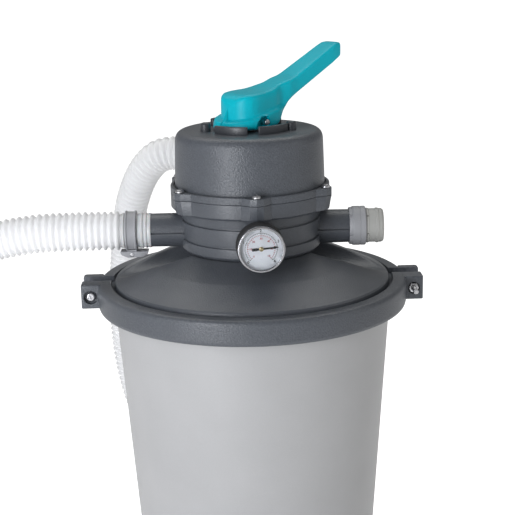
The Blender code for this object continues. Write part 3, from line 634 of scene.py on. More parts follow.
def ring_along(fine, start, end, outline, steps):
    """A lathed ring placed between two distances along a route; outline heights start at 0."""
    first, last = walk(fine, [start, end])
    place = Matrix.Translation(first) @ (last - first).to_track_quat("Z", "Y").to_matrix().to_4x4()
    return moved(lathe(outline, steps), place)


def cuff_outline(length, inner, ridges):
    """A moulded cuff with raised ridges between its plain ends."""
    outline = [(inner, 0, 0.4), (20.0, 0, 0.8), (20.0, 2.2, 0.3)]
    for low in ridges:
        outline += [(19.5, low - 0.7, 0.4), (20.5, low, 0.5), (20.5, low + 1.6, 0.5), (19.5, low + 2.3, 0.4)]
    return rounded(outline + [(20.0, length - 1.2, 0.5), (19.8, length, 0.5), (inner, length, 0.4)], 3)


def band_builder(outer, inner, length):
    """A clamp band with a raised lip along both edges."""
    return rounded([(inner, 0), (outer, 0, 0.7), (outer, 2.0, 0.4), (outer - 0.9, 2.4, 0.4),
                    (outer - 0.9, length - 2.4, 0.4), (outer, length - 2.0, 0.4), (outer, length, 0.7),
                    (inner, length)], 3)


class FILTER_OT_hoses(bpy.types.Operator):
    """Both corrugated hoses with their moulded cuffs and clamps."""
    bl_idname = "filter_tank.hoses"
    bl_label = "Hoses"

    def execute(self, context):
        size = context.scene.filter_hoses
        for name, route, turn in (("return_hose", RETURN_ROUTE, math.pi),
                                  ("pump_hose", PUMP_ROUTE, math.pi / 2)):
            fine = smooth_route(route)
            start, end = CUFF_LENGTH - 1.3, size.length - CUFF_LENGTH + 0.3
            marks = np.linspace(start, end, int((end - start) / size.pitch) * 7)
            points = walk(fine, marks)
            crests = 0.5 - 0.5 * np.cos(math.tau * (marks - start - 1) / size.pitch)
            radii = size.valley + (size.crest - size.valley) * crests ** 0.75
            radii[:3] = radii[-3:] = size.valley + 0.2
            radii = radii.tolist()
            tube = show(name + "_tube", swept(points, radii, size.sides), "hose_milky", "root",
                        name, sharp=80)
            mouth = cuff_outline(CUFF_LENGTH - 1, 19.35, (5, 9.5, 31))
            way = port_way(turn)
            mouth = show(name + "_sleeve", moved(lathe(mouth, 96), way @ at(0, 0, MOUTH_START)), "cuff_milky",
                         "root", name + "_mouth")
            cuff = ring_along(fine, size.length - CUFF_LENGTH, size.length,
                              cuff_outline(CUFF_LENGTH, 17.5, (2.6, 22, 27)), 96)
            cuff = show(name + "_end_sleeve", cuff, "cuff_milky", "root", name + "_cuff")
            clamp = ring_along(fine, size.length - 30, size.length - 17, band_builder(22.9, 20.9, 13), 96)
            clamp = show(name + "_end_band", clamp, "clip_grey", "root",
                         name + "_end_clamp")
            self.make_band(name, turn, way)
        return {"FINISHED"}

    def make_band(self, name, turn, way):
        """The clamp over the port's cuff with its boat-shaped grip and screw."""
        width = BAND_TO - BAND_FROM
        band = moved(lathe(band_builder(23.0, 20.9, width), 120), way @ at(0, 0, BAND_FROM))
        frame_way = turn_z(turn + math.pi) @ at(0, 0, PORT_Z)
        boat = rounded([(-152, -23.4, 2), (-119, -23.4, 2), (-119.6, -26.4, 2), (-126, -30.2, 6),
                        (-143, -30.4, 6), (-150.5, -27.2, 4)], 5)
        boat = eased(moved(prism(boat, -8, 8), UPRIGHT), 1.0, 3)
        neck = box((-143.5, -6, -26), (-132.5, 6, -22))
        ribs = [box((low, -8.5, -31), (low + 1.1, -7.2, -25)) for low in (-120.5, -123.2, -125.9)]
        pin_way = rod(2.6, -12, 12, 24)
        boat = carved(boat, "DIFFERENCE", together(*ribs), moved(pin_way, at(-138, 0, -THUMB_DROP) @ ALONG_Y))
        band = together(band, moved(boat, frame_way), moved(neck, frame_way))
        show(name + "_band", band, "clip_grey", "root", name + "_clamp_band")
        head = [(0, -7.5), (2.2, -7.5, 0.3), (2.2, 8.3), (4.2, 8.3, 0.4), (4.2, 10.6, 1.0), (2.5, 11.8, 0.8),
                (0, 11.8)]
        slot_cut = box((-6, -0.5, 10.6), (6, 0.5, 13))
        screw = carved(turned(head, 4, 40), "DIFFERENCE", slot_cut)
        show(name + "_screw", moved(screw, frame_way @ at(-138, 0, -THUMB_DROP) @ ALONG_Y), "zinc_plate",
             name.replace("_hose", "_clamp_screw"), name + "_clamp_screw")


# ---------------------------------------------------------------- tank and foot

def wall_radius(height):
    """Outer radius of the tank's straight wall."""
    return 159.8 - (CLAMP_BOTTOM - height) * math.tan(math.radians(4))


class FILTER_OT_tank(bpy.types.Operator):
    """Pressure tank, its foot and the drain cap."""
    bl_idname = "filter_tank.tank"
    bl_label = "Tank"

    def execute(self, context):
        lip, joint = CLAMP_BOTTOM + 6, FLANGE_JOINT - 0.2
        outline = [(0, TANK_BOTTOM), (wall_radius(TANK_BOTTOM), TANK_BOTTOM, 25),
                   (wall_radius(lip), lip, 0.8), (173, joint - 4.8, 0.8), (173, joint, 0.4), (168.3, joint),
                   (168.3, joint - 2.6), (162.7, joint - 2.6), (162.7, joint),
                   (wall_radius(lip) - 4, joint, 0.5), (wall_radius(lip - 10) - 4, lip - 10),
                   (wall_radius(TANK_BOTTOM) - 4, TANK_BOTTOM + 4, 21), (0, TANK_BOTTOM + 4)]
        tank = lathe(filled(rounded(outline, 8), 30), 144)
        level = at(0, 0, DRAIN_Z) @ ALONG_X
        spout = [(10, 120), (19, 120), (19, 128, 5), (14, 139, 3), (14, 156, 0.5), (10, 156, 0.3)]
        tank = carved(tank, "UNION", moved(turned(spout, 4, 48), level))
        tank = carved(tank, "DIFFERENCE", moved(rod(10, 110, 160, 48), level))
        show("tank_shell", tank, "shell_satin", "root", "tank")

        cup = wall_radius(BASE_TOP) + 0.7
        foot = [(0, 0), (BASE_RADIUS - 1, 0, 1), (BASE_RADIUS, 2, 1), (BASE_RADIUS, 9, 3), (cup + 8.5, 12, 3),
                (cup + 6.5, BASE_TOP - 3, 2), (cup + 4, BASE_TOP, 1.5), (cup, BASE_TOP, 1),
                (cup, TANK_BOTTOM - 0.3, 1), (0, TANK_BOTTOM - 0.3)]
        show("tank_foot", turned(foot, 5, 144), "slate_smooth", "root", "tank_base")

        cap = [(0, 158.6), (14.6, 158.6), (14.6, 143), (17.4, 143, 0.6), (18, 145, 0.6), (18, 159, 1.5),
               (16.5, 163, 1.2), (0, 163)]
        ribs = 18
        cap = rounded(cap, 3)

        def flute(index, x, y, z):
            reach = math.hypot(x, y)
            if reach < 16 or not 145 < z < 160:
                return x, y, z
            dip = 1 - 0.05 * (0.5 - 0.5 * math.cos(ribs * math.atan2(y, x))) ** 3
            return x * dip, y * dip, z
        grip = eased(box((-3, -14, 161.5), (3, 14, 169)), 1.2, 3)
        cap = carved(lathe(filled(cap, 4), 144, flute), "UNION", grip)
        show("drain_lid", moved(cap, level), "slate_smooth", "drain_cap", "drain_cap")
        return {"FINISHED"}


# ---------------------------------------------------------------- clamp ring

def threaded(radius, low, high, pitch=1.0, sides=24):
    """A bar with a real screw thread."""
    rows = round((high - low) / pitch * 6)
    side = [(radius, low + (high - low) * row / rows) for row in range(rows + 1)]

    def groove(index, x, y, z):
        share = (z / pitch - math.atan2(y, x) / math.tau) % 1
        reach = radius - 0.5 * abs(2 * share - 1) - 0.6 * (z < low + 0.3 or z > high - 0.3)
        return x * reach / radius, y * reach / radius, z
    return lathe([(0, low), *side, (0, high)], sides, groove)


def cross_head(radius, low, height, recess):
    """Pan head of a cross-recess screw; it faces up from low."""
    head = turned([(0, low), (radius, low, 0.2), (radius, low + height * 0.45, 1.0),
                   (radius * 0.72, low + height, 1.5), (0, low + height)], 5, 48)
    arms = [moved(box((-recess, -0.62, low + height - 1.6), (recess, 0.62, low + height + 1)), turn_z(turn))
            for turn in (math.radians(25), math.radians(115))]
    top = low + height
    heart = lathe([(0, top - 2.4), (recess * 0.42, top - 1.2), (recess * 0.5, top + 1), (0, top + 1)], 16)
    return carved(head, "DIFFERENCE", *arms, heart)


def hex_nut(low, high, across=11.6):
    blank_nut = lathe([(0, low), (across / 2, low), (across / 2, high), (0, high)], 6)
    dressing = [(3.3, low), (5.1, low), (6.1, low + 0.7), (6.1, high - 0.7), (5.1, high), (3.3, high)]
    return carved(blank_nut, "INTERSECT", turned(dressing, 2, 48))


class FILTER_OT_clamp(bpy.types.Operator):
    """Two-part clamp ring with its bolts and nuts."""
    bl_idname = "filter_tank.clamp"
    bl_label = "Clamp ring"

    def ring(self):
        low, top = CLAMP_BOTTOM, CLAMP_TOP
        outline = [(161.6, low, 0.8), (CLAMP_RADIUS - 1, low, 3), (CLAMP_RADIUS, low + 4, 2),
                   (CLAMP_RADIUS, top, 6.5), (163.3, top, 1.4), (163.3, 493.95, 0.8), (174.2, 491.1),
                   (174.2, 480.7), (161.6, 477.4)]
        return turned(outline, 7, 192)

    def half(self, name, side_low, side_high, ears, reach_y):
        ring = self.ring()
        for side in (-1, 1):
            near, far = sorted((side * 174.8, side * EAR_REACH))
            low, high = ears
            if reach_y > 0:
                soft = (4.5, 0) if side > 0 else (0, 4.5)
                plan = [(near, low - 6), (far, low - 6), (far, high, soft[0]), (near, high, soft[1])]
            else:
                plan = [(near, low, 2.5), (far, low, 2.5), (far, high + 6), (near, high + 6)]
            ear = eased(prism(rounded(plan, 4), CLAMP_BOTTOM + 0.3, CLAMP_TOP - 0.25), 1.3, 3)
            ring = carved(ring, "UNION", ear)
        slab = box((-215, side_low, CLAMP_BOTTOM - 6), (215, side_high, CLAMP_TOP + 6))
        ring = carved(ring, "INTERSECT", slab)
        holes = [moved(rod(3.4, ears[0] - 8, ears[1] + 8, 32), at(side * BOLT_X, 0, BOLT_Z) @ ALONG_Y)
                 for side in (-1, 1)]
        return carved(ring, "DIFFERENCE", together(*holes))

    def execute(self, context):
        turn = turn_z(CLAMP_TURN)
        front = self.half("clamp_front", -215, 0, (-EAR_FRONT, 0), -1)
        seats = [moved(rod(radius, -EAR_FRONT - 3, -EAR_FRONT + 5), at(side * BOLT_X, 0, BOLT_Z) @ ALONG_Y)
                 for side, radius in ((-1, 8.3), (1, 7.0))]
        front = carved(front, "DIFFERENCE", together(*seats))
        show("clamp_half_front", moved(front, turn), "slate_grained", "root", "clamp_front", sharp=32)
        rear = self.half("clamp_rear", CLAMP_SPLIT, 215, (CLAMP_SPLIT, CLAMP_SPLIT + EAR_REAR), 1)
        show("clamp_half_rear", moved(rear, turn), "slate_grained", "root", "clamp_rear", sharp=32)
        depth = -EAR_FRONT + 4.7
        rear_face = CLAMP_SPLIT + EAR_REAR + 0.3
        facing = Matrix.Rotation(math.pi, 4, "X")
        for side, label in ((-1, "left"), (1, "right")):
            spot = turn @ at(side * BOLT_X, 0, BOLT_Z) @ ALONG_Y
            if side < 0:
                low, high = depth + 1, depth + BOLT_LENGTH
                head = moved(cross_head(5.8, -depth, 4.0, 3.4), facing)
                nut = hex_nut(rear_face, rear_face + 5)
            else:
                low, high = rear_face - BOLT_LENGTH, rear_face + 1
                head = cross_head(5.8, rear_face, 4.0, 3.4)
                nut = hex_nut(-EAR_FRONT - 0.3, depth)
            shank = threaded(BOLT_RADIUS, low, high)
            bolt = moved(together(shank, head), spot)
            show(f"clamp_screw_{label}", bolt, "zinc_plate", "root", f"clamp_bolt_{label}")
            show(f"clamp_hex_{label}", moved(nut, spot), "zinc_plate", "root", f"clamp_nut_{label}")
        return {"FINISHED"}


# ---------------------------------------------------------------- dome

class FILTER_OT_dome(bpy.types.Operator):
    """Dome with a hollow under each of the three side ports."""
    bl_idname = "filter_tank.dome"
    bl_label = "Dome"

    def execute(self, context):
        size = context.scene.filter_dome
        joint, wall = FLANGE_JOINT + 0.2, size.wall
        slope = [(156.5, 503.6), (118, 521.8), (78, DOME_TOP)]
        outer = [(162.7, joint), (162.7, joint + 2.6), (168.3, joint + 2.6), (168.3, joint),
                 (173, joint, 0.4), (173, 491.0, 0.8), (161, 494.2, 1.5), (159.3, 495.2, 0.8),
                 (158.8, 501.3, 1.2), (157.6, 503.2, 0.8)]
        outer = filled(rounded(outer + slope + [(60.2, DOME_TOP)], 5), 1.7)
        inner = [(60.2, DOME_TOP - wall), (78, DOME_TOP - wall), (116, 521.8 - wall), (151, 503.6 - wall),
                 (153.5, joint)]
        inner = filled(inner, 3.5)
        last_outer = len(outer)

        def hollow(index, x, y, z):
            """Lower a point to the nearest hollow's surface, with a soft edge."""
            reach = math.hypot(x, y)
            thick = 0 if index < last_outer else wall
            if reach > 157.4 or z < 495:
                return x, y, z
            bar, centre = size.scoop + thick, size.floor + size.scoop
            for along, across in ((x, y), (-x, y), (y, x)):
                if along < 50 or abs(across) > bar - 0.01:
                    continue
                ground = centre - math.sqrt(bar * bar - across * across)
                share = min(1.0, max(0.0, 0.5 + 0.5 * (z - ground) / size.ease))
                z = z + (ground - z) * share - size.ease * share * (1 - share)
            return x, y, z
        dome = lathe(outer + inner, 400, hollow)
        show("dome_shell", dome, "slate_smooth", "root", "dome", sharp=50)
        return {"FINISHED"}


# ---------------------------------------------------------------- valve body and cover

def boss_turn(index):
    return turn_z(SCREW_TURN + math.tau * index / 6)


def screw_holes(low, high):
    """Six holes for the cover's screws."""
    return together(*(moved(rod(2.9, low, high, 24), boss_turn(index) @ at(SCREW_CIRCLE, 0, 0))
                      for index in range(6)))


def bosses(low, high, sloped):
    """Six prow-shaped screw bosses round the valve's flange."""
    made = []
    for index in range(6):
        outline = rounded([(87.6, -16.5), (89.6, -16.5, 1), (98.0, -7.5, 1.2), (101, 0, 0.9),
                           (98.0, 7.5, 1.2), (89.6, 16.5, 1), (87.6, 16.5)], 4)
        boss = prism(outline, low, high)
        for vert in boss.verts:
            if sloped and vert.co.z < low + 0.1 and vert.co.x > 92:
                vert.co.x -= 4.5 * (vert.co.x - 92) / 9
        made.append(moved(eased(boss, 0.5, 2, 50), boss_turn(index)))
    return made


class FILTER_OT_valve_body(bpy.types.Operator):
    """Valve body with its three ports and lower flange."""
    bl_idname = "filter_tank.valve_body"
    bl_label = "Valve body"

    def execute(self, context):
        base, top = DOME_TOP + 0.3, JOINT_Z - 0.15
        outline = [(0, 583), (16.6, 583), (16.6, 522), (21, 522), (21, 541), (55, 541), (55, 522),
                   (59.6, 522), (59.6, base), (75.8, base, 1), (79.8, base + 3.4, 2), (80.2, 551.0, 0.5),
                   (77.6, 551.4, 0.3), (77.6, 553.0, 0.3), (79.0, 553.4, 0.5), (80.2, 572.2, 0.5),
                   (77.6, 572.6, 0.3), (77.6, 574.2, 0.3), (79.0, 574.6, 0.5), (80, 585.5, 2),
                   (88.5, 585.5, 0.6), (91, 588, 0.8), (91, top, 0.6), (87, top), (87, top - 2.3),
                   (82, top - 2.3), (82, top), (72.5, top), (72.5, 590), (0, 590)]
        body = turned(outline, 4, 180)
        for boss in bosses(587, top, True):
            body = carved(body, "UNION", boss)
        body = carved(body, "DIFFERENCE", screw_holes(592, top + 5))
        for turn, end in ((180, 149), (90, 149), (0, 116)):
            way = port_way(math.radians(turn))
            port = [(0, 74), (19.6, 74), (19.4, 84, 3), (19, end, 0.8)]
            if end == 116:
                port += [(17, end + 0.2, 0.3), (17, 126, 0.5), (0, 126)]
            else:
                port += [(0, end)]
            body = carved(body, "UNION", moved(turned(port, 5, 72), way))
            bore = 13.5 if end == 116 else 16
            body = carved(body, "DIFFERENCE", moved(rod(bore, 60, end + 15, 48), way))
        seam = [box((76, -24, PORT_Z - 0.9), (118, -16.8, PORT_Z + 0.9)),
                box((-118, -24, PORT_Z - 0.9), (-76, -16.8, PORT_Z + 0.9))]
        body = carved(body, "DIFFERENCE", together(*seam))
        tap = moved(rod(5.0, 60, 90, 32), turn_z(GAUGE_TURN) @ at(0, 0, GAUGE_Z) @ ALONG_X)
        body = carved(body, "DIFFERENCE", tap)
        show("valve_housing", body, "slate_smooth", "root", "valve_body", sharp=30)
        return {"FINISHED"}


class FILTER_OT_cover(bpy.types.Operator):
    """Bell-shaped valve cover with its selector stops and six screws."""
    bl_idname = "filter_tank.cover"
    bl_label = "Valve cover"

    def stops(self):
        """Four curved tabs and two round posts on top, which the lever drops between."""
        low, made = COVER_TOP - 0.6, []
        for centre in (-31, 31, 149, 211):
            turns = [math.radians(TAB_TURN + centre - 24 + 48 * step / 14) for step in range(15)]
            plan = [(50.8 * math.cos(turn), 50.8 * math.sin(turn)) for turn in turns]
            plan += [(46.0 * math.cos(turn), 46.0 * math.sin(turn)) for turn in reversed(turns)]
            plan = [(*spot, 2.0) if index % 15 in (0, 14) else spot for index, spot in enumerate(plan)]
            made.append(eased(prism(rounded(plan, 4), low, TAB_TOP - 1), 1.4, 4))
        for centre in (-74, 71):
            post = rounded([(0, low), (5.8, low), (5.8, TAB_TOP - 2, 1), (4.2, TAB_TOP, 3), (0, TAB_TOP)], 5)
            made.append(moved(lathe(post, 40), turn_z(math.radians(centre - 90)) @ at(50.4, 0, 0)))
        # The stops take the slate colour darkened as painted shade, not a darker plastic.
        show("selector_stops", together(*made), "slate_painted_shade", "root", "valve_cover")

    def execute(self, context):
        low = JOINT_Z + 0.15
        outline = [(80.5, low), (82, low), (82, low + 2.3), (87, low + 2.3), (87, low), (91, low, 0.6),
                   (91, 612, 1.4), (87.4, 612, 0.5), (87.2, 609.8), (85.7, 609.8), (84.9, 640),
                   (83.9, COVER_TOP, 12.5), (30, COVER_TOP), (9.2, COVER_TOP, 0.6), (9.2, 671.8),
                   (12.6, 671.8), (12.6, 667.5), (9.2, 667.5), (9.2, 664.5), (14, 664.5), (14, 668.4),
                   (71, 668.4, 2), (77, 665, 4), (79.2, 658), (80.5, 640)]
        cover = turned(outline, 10, 192)
        for boss in bosses(low, 611.8, False):
            cover = carved(cover, "UNION", boss)
        cover = carved(cover, "DIFFERENCE", screw_holes(600, 620))
        show("valve_bell", cover, "slate_grained", "root", "valve_cover", sharp=30)
        self.stops()
        for index in range(6):
            shank = threaded(2.4, 594, 612.3, 1.2, 20)
            screw = together(shank, cross_head(4.9, 612.1, 3.4, 3.0))
            show(f"cover_cross_screw_{index + 1}", moved(screw, boss_turn(index) @ at(SCREW_CIRCLE, 0, 0)),
                 "zinc_plate", "root", f"cover_screw_{index + 1}")
        return {"FINISHED"}


# ---------------------------------------------------------------- lever

class FILTER_OT_lever(bpy.types.Operator):
    """Push-down selector lever, its pin and the slip washer."""
    bl_idname = "filter_tank.lever"
    bl_label = "Lever"

    def lofted(self):
        """Rounded sections along the lever; u runs along it and heights are from the pin."""
        lower = [(-42, -7), (-38, -8), (20, -8), (27, -3), (48, 19), (132, 60), (139.5, 66)]
        upper = [(-42, 16), (-41, 21), (-38, 25.5), (-32, 29), (-24, 31), (-12, 32), (10, 33), (22, 35),
                 (60, 45), (126, 77.6), (133, 78), (139.5, 70)]
        width = [(-42, 1.5), (-41, 10.5), (-39, 17), (-35.5, 23), (-30, 29), (-22, 34), (-12, 35.5),
                 (0, 34.5), (10, 32), (26, 28), (36, 21), (60, 17.5), (120, 15), (134, 12.5), (139.5, 2)]
        places = -0.5 + 0.5 * np.sin(np.linspace(-math.pi / 2, math.pi / 2, 120))
        places = -42 + 181.5 * (places + 1)
        kernel = np.array([1, 2, 3, 2, 1]) / 9
        rows = []
        for curve in (lower, upper, width):
            values = np.interp(places, *zip(*curve))
            padded = np.concatenate([[values[0]] * 2, values, [values[-1]] * 2])
            rows.append(np.convolve(padded, kernel, "valid"))
        made = bmesh.new()
        rings, sides = [], 112
        turns = np.linspace(0, math.tau, 721)
        across, upward = (np.sign(wave) * np.abs(wave) ** (2 / 7) for wave in (np.cos(turns), np.sin(turns)))
        for u, bottom, top, wide in zip(places, *rows):
            vs, ws = wide * across, (top + bottom) / 2 + (top - bottom) / 2 * upward
            gone = np.concatenate([[0], np.cumsum(np.hypot(np.diff(vs), np.diff(ws)))])
            marks = np.linspace(0, gone[-1], sides, endpoint=False)
            ring = []
            for v, w in zip(np.interp(marks, gone, vs).tolist(), np.interp(marks, gone, ws).tolist()):
                crease = 1 + (u + 35) / 6
                lean = min(1.0, max(0.0, (w + 8) / (crease + 8)))
                rise = min(1.0, max(0.0, (w - crease) / 3.5))
                waist = (0.3 * lean + 0.7 * rise * rise * (3 - 2 * rise)) * min(1.0, max(0.0, (48 - u) / 16))
                along = u * (1 - 0.28 * waist) if u < 0 else u
                ring.append(made.verts.new((along, v * (1 - 0.24 * waist), w)))
            rings.append(ring)
        for low, high in zip(rings, rings[1:]):
            for step in range(sides):
                after = (step + 1) % sides
                made.faces.new((low[step], low[after], high[after], high[step]))
        made.faces.new(rings[0][::-1])
        made.faces.new(rings[-1])
        bmesh.ops.recalc_face_normals(made, faces=made.faces)
        return made

    def execute(self, context):
        place = turn_z(LEVER_TURN) @ at(0, 0, PIN_Z)
        slot_cut = eased(box((-15.5, -9.4, -12), (15.5, 9.4, 15)), 1.2, 3)
        arch = rounded([(-20, -12), (-14, 2, 5), (-7, 7, 5), (3, 7, 2.5), (5.2, 3, 2), (5.2, -12)], 5)
        arches = [eased(moved(prism(arch, low, high), UPRIGHT), 0.4, 2)
                  for low, high in ((25, 44), (-44, -25))]
        pin_way = moved(rod(3.6, -45, 45, 40), ALONG_Y)
        lever = carved(self.lofted(), "DIFFERENCE", slot_cut, *arches, pin_way)
        show("selector_lever", moved(lever, place), "lever_teal", "lever", "handle", sharp=75)
        pin = turned([(0, -34), (3.2, -34, 0.9), (3.2, 33, 0.8), (2.0, 34, 0.6), (0, 34)], 4, 48)
        show("lever_pin", moved(pin, place @ ALONG_Y @ Matrix.Rotation(math.pi, 4, "X")), "zinc_plate",
             "rotor", "handle_pin")
        low = corner("slip_washer", False).z
        high = corner("slip_washer", True).z
        washer = rounded([(9.6, low, 0.3), (22, low, 0.3), (22, high, 0.4), (9.6, high, 0.3)], 3)
        show("lever_washer", lathe(washer, 96), "zinc_plate", "selector", "slip_washer")
        return {"FINISHED"}


# ---------------------------------------------------------------- gauge

class FILTER_OT_gauge(bpy.types.Operator):
    """Pressure gauge with two printed scales."""
    bl_idname = "filter_tank.gauge"
    bl_label = "Gauge"

    def ticks(self, count, every, inner, long_inner, outer, thick, face):
        """Scale marks over 270 degrees; every so many marks one is long."""
        marks = []
        for index in range(count + 1):
            turn = math.radians(225 - 270 * index / count)
            start = long_inner if index % every == 0 else inner
            wide = thick * (1.5 if index % every == 0 else 1)
            marks.append(moved(box((start, -wide / 2, face), (outer, wide / 2, face + 0.08)), turn_z(turn)))
        return marks

    def arc_line(self, inner, outer, face):
        turns = [math.radians(225 - 270 * step / 60) for step in range(61)]
        plan = [(outer * math.cos(turn), outer * math.sin(turn)) for turn in turns]
        plan += [(inner * math.cos(turn), inner * math.sin(turn)) for turn in reversed(turns)]
        return prism(plan, face, face + 0.08)

    def numbers(self, values, radius, size, face):
        """Printed numbers round the scale."""
        made = []
        for index, value in enumerate(values):
            turn = math.radians(225 - 270 * index / (len(values) - 1))
            text = bpy.data.curves.new("number", "FONT")
            text.body, text.size, text.extrude, text.offset = str(value), size, 0.04, 0.07
            text.align_x, text.align_y = "CENTER", "CENTER"
            holder = bpy.data.objects.new("number", text)
            bpy.context.collection.objects.link(holder)
            builder = as_builder(holder)
            made.append(moved(builder, at(radius * math.cos(turn), radius * math.sin(turn), face + 0.04)))
        return made

    def execute(self, context):
        front = GAUGE_FACE
        way = turn_z(GAUGE_TURN) @ at(0, 0, GAUGE_Z) @ ALONG_X
        dial_way = way @ turn_z(math.pi / 2)
        hexagon = lathe([(0, 82), (9.0, 82), (9.0, 94), (0, 94)], 6)
        neck = turned([(0, 70), (4.6, 70, 0.4), (4.6, 97), (0, 97)], 3, 48)
        show("gauge_neck", moved(together(hexagon, neck), way), "turned_brass", "root",
             "gauge_stem")
        case = [(0, front - 26.6), (24, front - 26.6, 3), (26.2, front - 23, 2), (26.2, front - 6.6, 0.8),
                (23.8, front - 6.6, 0.4), (23.8, front - 23.5), (0, front - 23.5)]
        show("gauge_body", moved(turned(case, 6, 120), way), "seal_black", "root",
             "gauge_case")
        bezel = [(24.2, front - 6.3), (25.6, front - 6.3, 0.3), (25.6, front, 1.8), (22.8, front, 1.0),
                 (22.8, front - 1.4), (24.2, front - 1.4)]
        show("gauge_rim", moved(turned(bezel, 8, 144), way), "bezel_chrome", "root",
             "gauge_bezel")
        lens = [(0, front - 2.8), (23.7, front - 2.8), (23.7, front - 1.9, 0.2), (0, front - 1.7)]
        show("gauge_window", moved(turned(lens, 3), way), "lens_glass", "root",
             "gauge_lens")
        dial = turned([(0, front - 6.2), (23.7, front - 6.2), (23.7, front - 5.2, 0.2), (0, front - 5.2)], 3)
        show("gauge_plate", moved(dial, way), "dial_white", "root", "gauge_dial")
        face = front - 5.2
        black = self.ticks(40, 10, 16.4, 15.6, 17.4, 0.4, face) + [self.arc_line(17.3, 17.6, face)]
        black += self.numbers((0, 1, 2, 3, 4), 19.9, 4.2, face)
        show("gauge_scale", moved(together(*black), dial_way), "print_black", "root")
        red = self.ticks(30, 5, 13.9, 13.4, 15.0, 0.4, face) + [self.arc_line(14.9, 15.1, face)]
        red += self.numbers((0, 10, 20, 30, 40, 50, 60), 11.4, 3.0, face)
        show("gauge_scale_inner", moved(together(*red), dial_way), "print_red", "root")
        needle = rounded([(-10, -1.5, 0.4), (-5, -1.5, 0.5), (-3, -1.1, 0.4), (13, -0.8), (14.5, -1.3, 0.2),
                          (19, 0), (14.5, 1.3, 0.2), (13, 0.8), (-3, 1.1, 0.4), (-5, 1.5, 0.5),
                          (-10, 1.5, 0.4)], 3)
        needle = moved(prism([(-y, x) for x, y in needle], front - 4.8, front - 4.2), turn_z(NEEDLE_TILT))
        show("gauge_needle", moved(needle, way), "print_black", "pointer", "gauge_pointer")
        hub = turned([(0, front - 4.9), (2.5, front - 4.9), (2.5, front - 3.6, 0.4), (1.5, front - 3.2, 0.3),
                             (1.2, front - 3.6), (0, front - 3.6)], 3, 48)
        show("gauge_hub", moved(hub, way), "turned_brass", "pointer")
        return {"FINISHED"}


# ---------------------------------------------------------------- waste port

class FILTER_OT_waste(bpy.types.Operator):
    """Union nut and cap that close the waste port; the imported gasket between them stays as it is."""
    bl_idname = "filter_tank.waste"
    bl_label = "Waste port"

    def execute(self, context):
        level = port_way(0)
        nut = rounded([(19.6, 113, 0.3), (21.2, 113, 0.6), (21.8, 116.6, 0.4), (22.3, 116.8, 0.4),
                       (22.65, 118.2, 0.5), (22.65, 125.2, 0.2), (22.2, 125.5), (22.2, 126),
                       (22.65, 126.3, 0.2), (22.65, 131, 0.6), (21.8, 132.2, 0.6), (15.0, 132.2),
                       (15.0, 130.6), (17.4, 130.6), (17.4, 117), (19.6, 116.6)], 4)
        grips = [moved(box((20.2, -1.3, 112), (23, 1.3, 116.3)), turn_z(math.radians(60 * index - 74.5)))
                 for index in range(6)]
        nut = carved(lathe(nut, 168), "DIFFERENCE", together(*grips))
        show("waste_union", moved(nut, level), "clip_grey", "waste_nut", "waste_nut")
        cap = [(0, 128.5), (16.8, 128.5), (16.8, 130.2), (14.6, 130.2), (14.6, 132.6), (20.2, 132.6, 0.6),
               (20.2, 135.2, 0.8), (19.5, 135.8, 0.3), (19.5, 143.4, 0.3), (20.3, 144, 0.6),
               (20.3, 146.4, 0.6), (19.6, 147, 0.3), (19.6, 150, 1), (18.2, CAP_END, 1.5), (0, CAP_END)]
        cap = turned(cap, 4, 144)
        nicks = [moved(box((18.4, -0.9, 133.2), (22, 0.9, 135.1)), turn_z(math.radians(60 * index - 74.5)))
                 for index in range(6)]
        cap = carved(cap, "DIFFERENCE", together(*nicks))
        show("waste_plug_cap", moved(cap, level), "cap_warm", "waste_plug", "waste_cap")
        return {"FINISHED"}


# ---------------------------------------------------------------- pieces inside

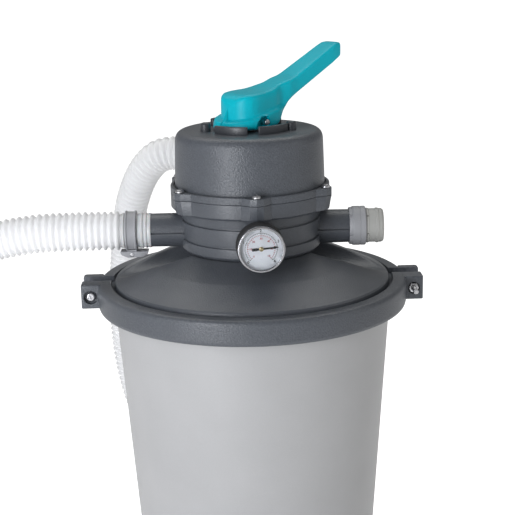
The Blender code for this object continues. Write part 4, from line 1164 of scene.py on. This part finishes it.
class FILTER_OT_inside(bpy.types.Operator):
    """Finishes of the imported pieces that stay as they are."""
    bl_idname = "filter_tank.inside"
    bl_label = "Inner pieces"

    def execute(self, context):
        laterals = [f"lateral_{index}" for index in range(1, 7)]
        inner = {"white_abs": ["standpipe", "rotor", "water_diffuser", *laterals],
                 "slate_smooth": ["collector_hub"],
                 "spring_wire": ["valve_spring"],
                 "seal_black": ["tank_o_ring", "cover_o_ring", "stem_o_ring", "spider_gasket", "waste_gasket",
                                "drain_o_ring"]}
        for name, pieces in inner.items():
            for piece in pieces:
                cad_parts[piece].material_slots[0].material = bpy.data.materials[name]
        return {"FINISHED"}


# ---------------------------------------------------------------- panel and registration

class FILTER_PT_panel(bpy.types.Panel):
    """Lists the steps that build the filter tank."""
    bl_idname = "FILTER_PT_panel"
    bl_label = "Filter Tank"
    bl_space_type = "VIEW_3D"
    bl_region_type = "UI"
    bl_category = "Filter Tank"

    def draw(self, context):
        scene = context.scene
        for settings in (scene.filter_finishes, scene.filter_hoses, scene.filter_dome, scene.filter_stage):
            for name in settings.__annotations__:
                self.layout.prop(settings, name)
        for operator in OPERATORS:
            self.layout.operator(operator.bl_idname)


OPERATORS = (FILTER_OT_stage, FILTER_OT_hoses, FILTER_OT_tank, FILTER_OT_clamp, FILTER_OT_dome,
             FILTER_OT_valve_body, FILTER_OT_cover, FILTER_OT_lever, FILTER_OT_gauge, FILTER_OT_waste,
             FILTER_OT_inside)
SETTINGS = {"filter_finishes": FILTER_PG_finishes, "filter_hoses": FILTER_PG_hoses,
            "filter_dome": FILTER_PG_dome, "filter_stage": FILTER_PG_stage}


def register():
    for kind in (*SETTINGS.values(), *OPERATORS, FILTER_PT_panel):
        bpy.utils.register_class(kind)
    for name, kind in SETTINGS.items():
        setattr(bpy.types.Scene, name, PointerProperty(type=kind))


def unregister():
    for name in SETTINGS:
        delattr(bpy.types.Scene, name)
    for kind in reversed((*SETTINGS.values(), *OPERATORS, FILTER_PT_panel)):
        bpy.utils.unregister_class(kind)


def main():
    register()
    make_groups()
    make_materials(bpy.context.scene.filter_finishes)
    steps = bpy.ops.filter_tank
    steps.stage()
    steps.hoses()
    steps.tank()
    steps.clamp()
    steps.dome()
    steps.valve_body()
    steps.cover()
    steps.lever()
    steps.gauge()
    steps.waste()
    steps.inside()


if __name__ == "__main__":
    main()
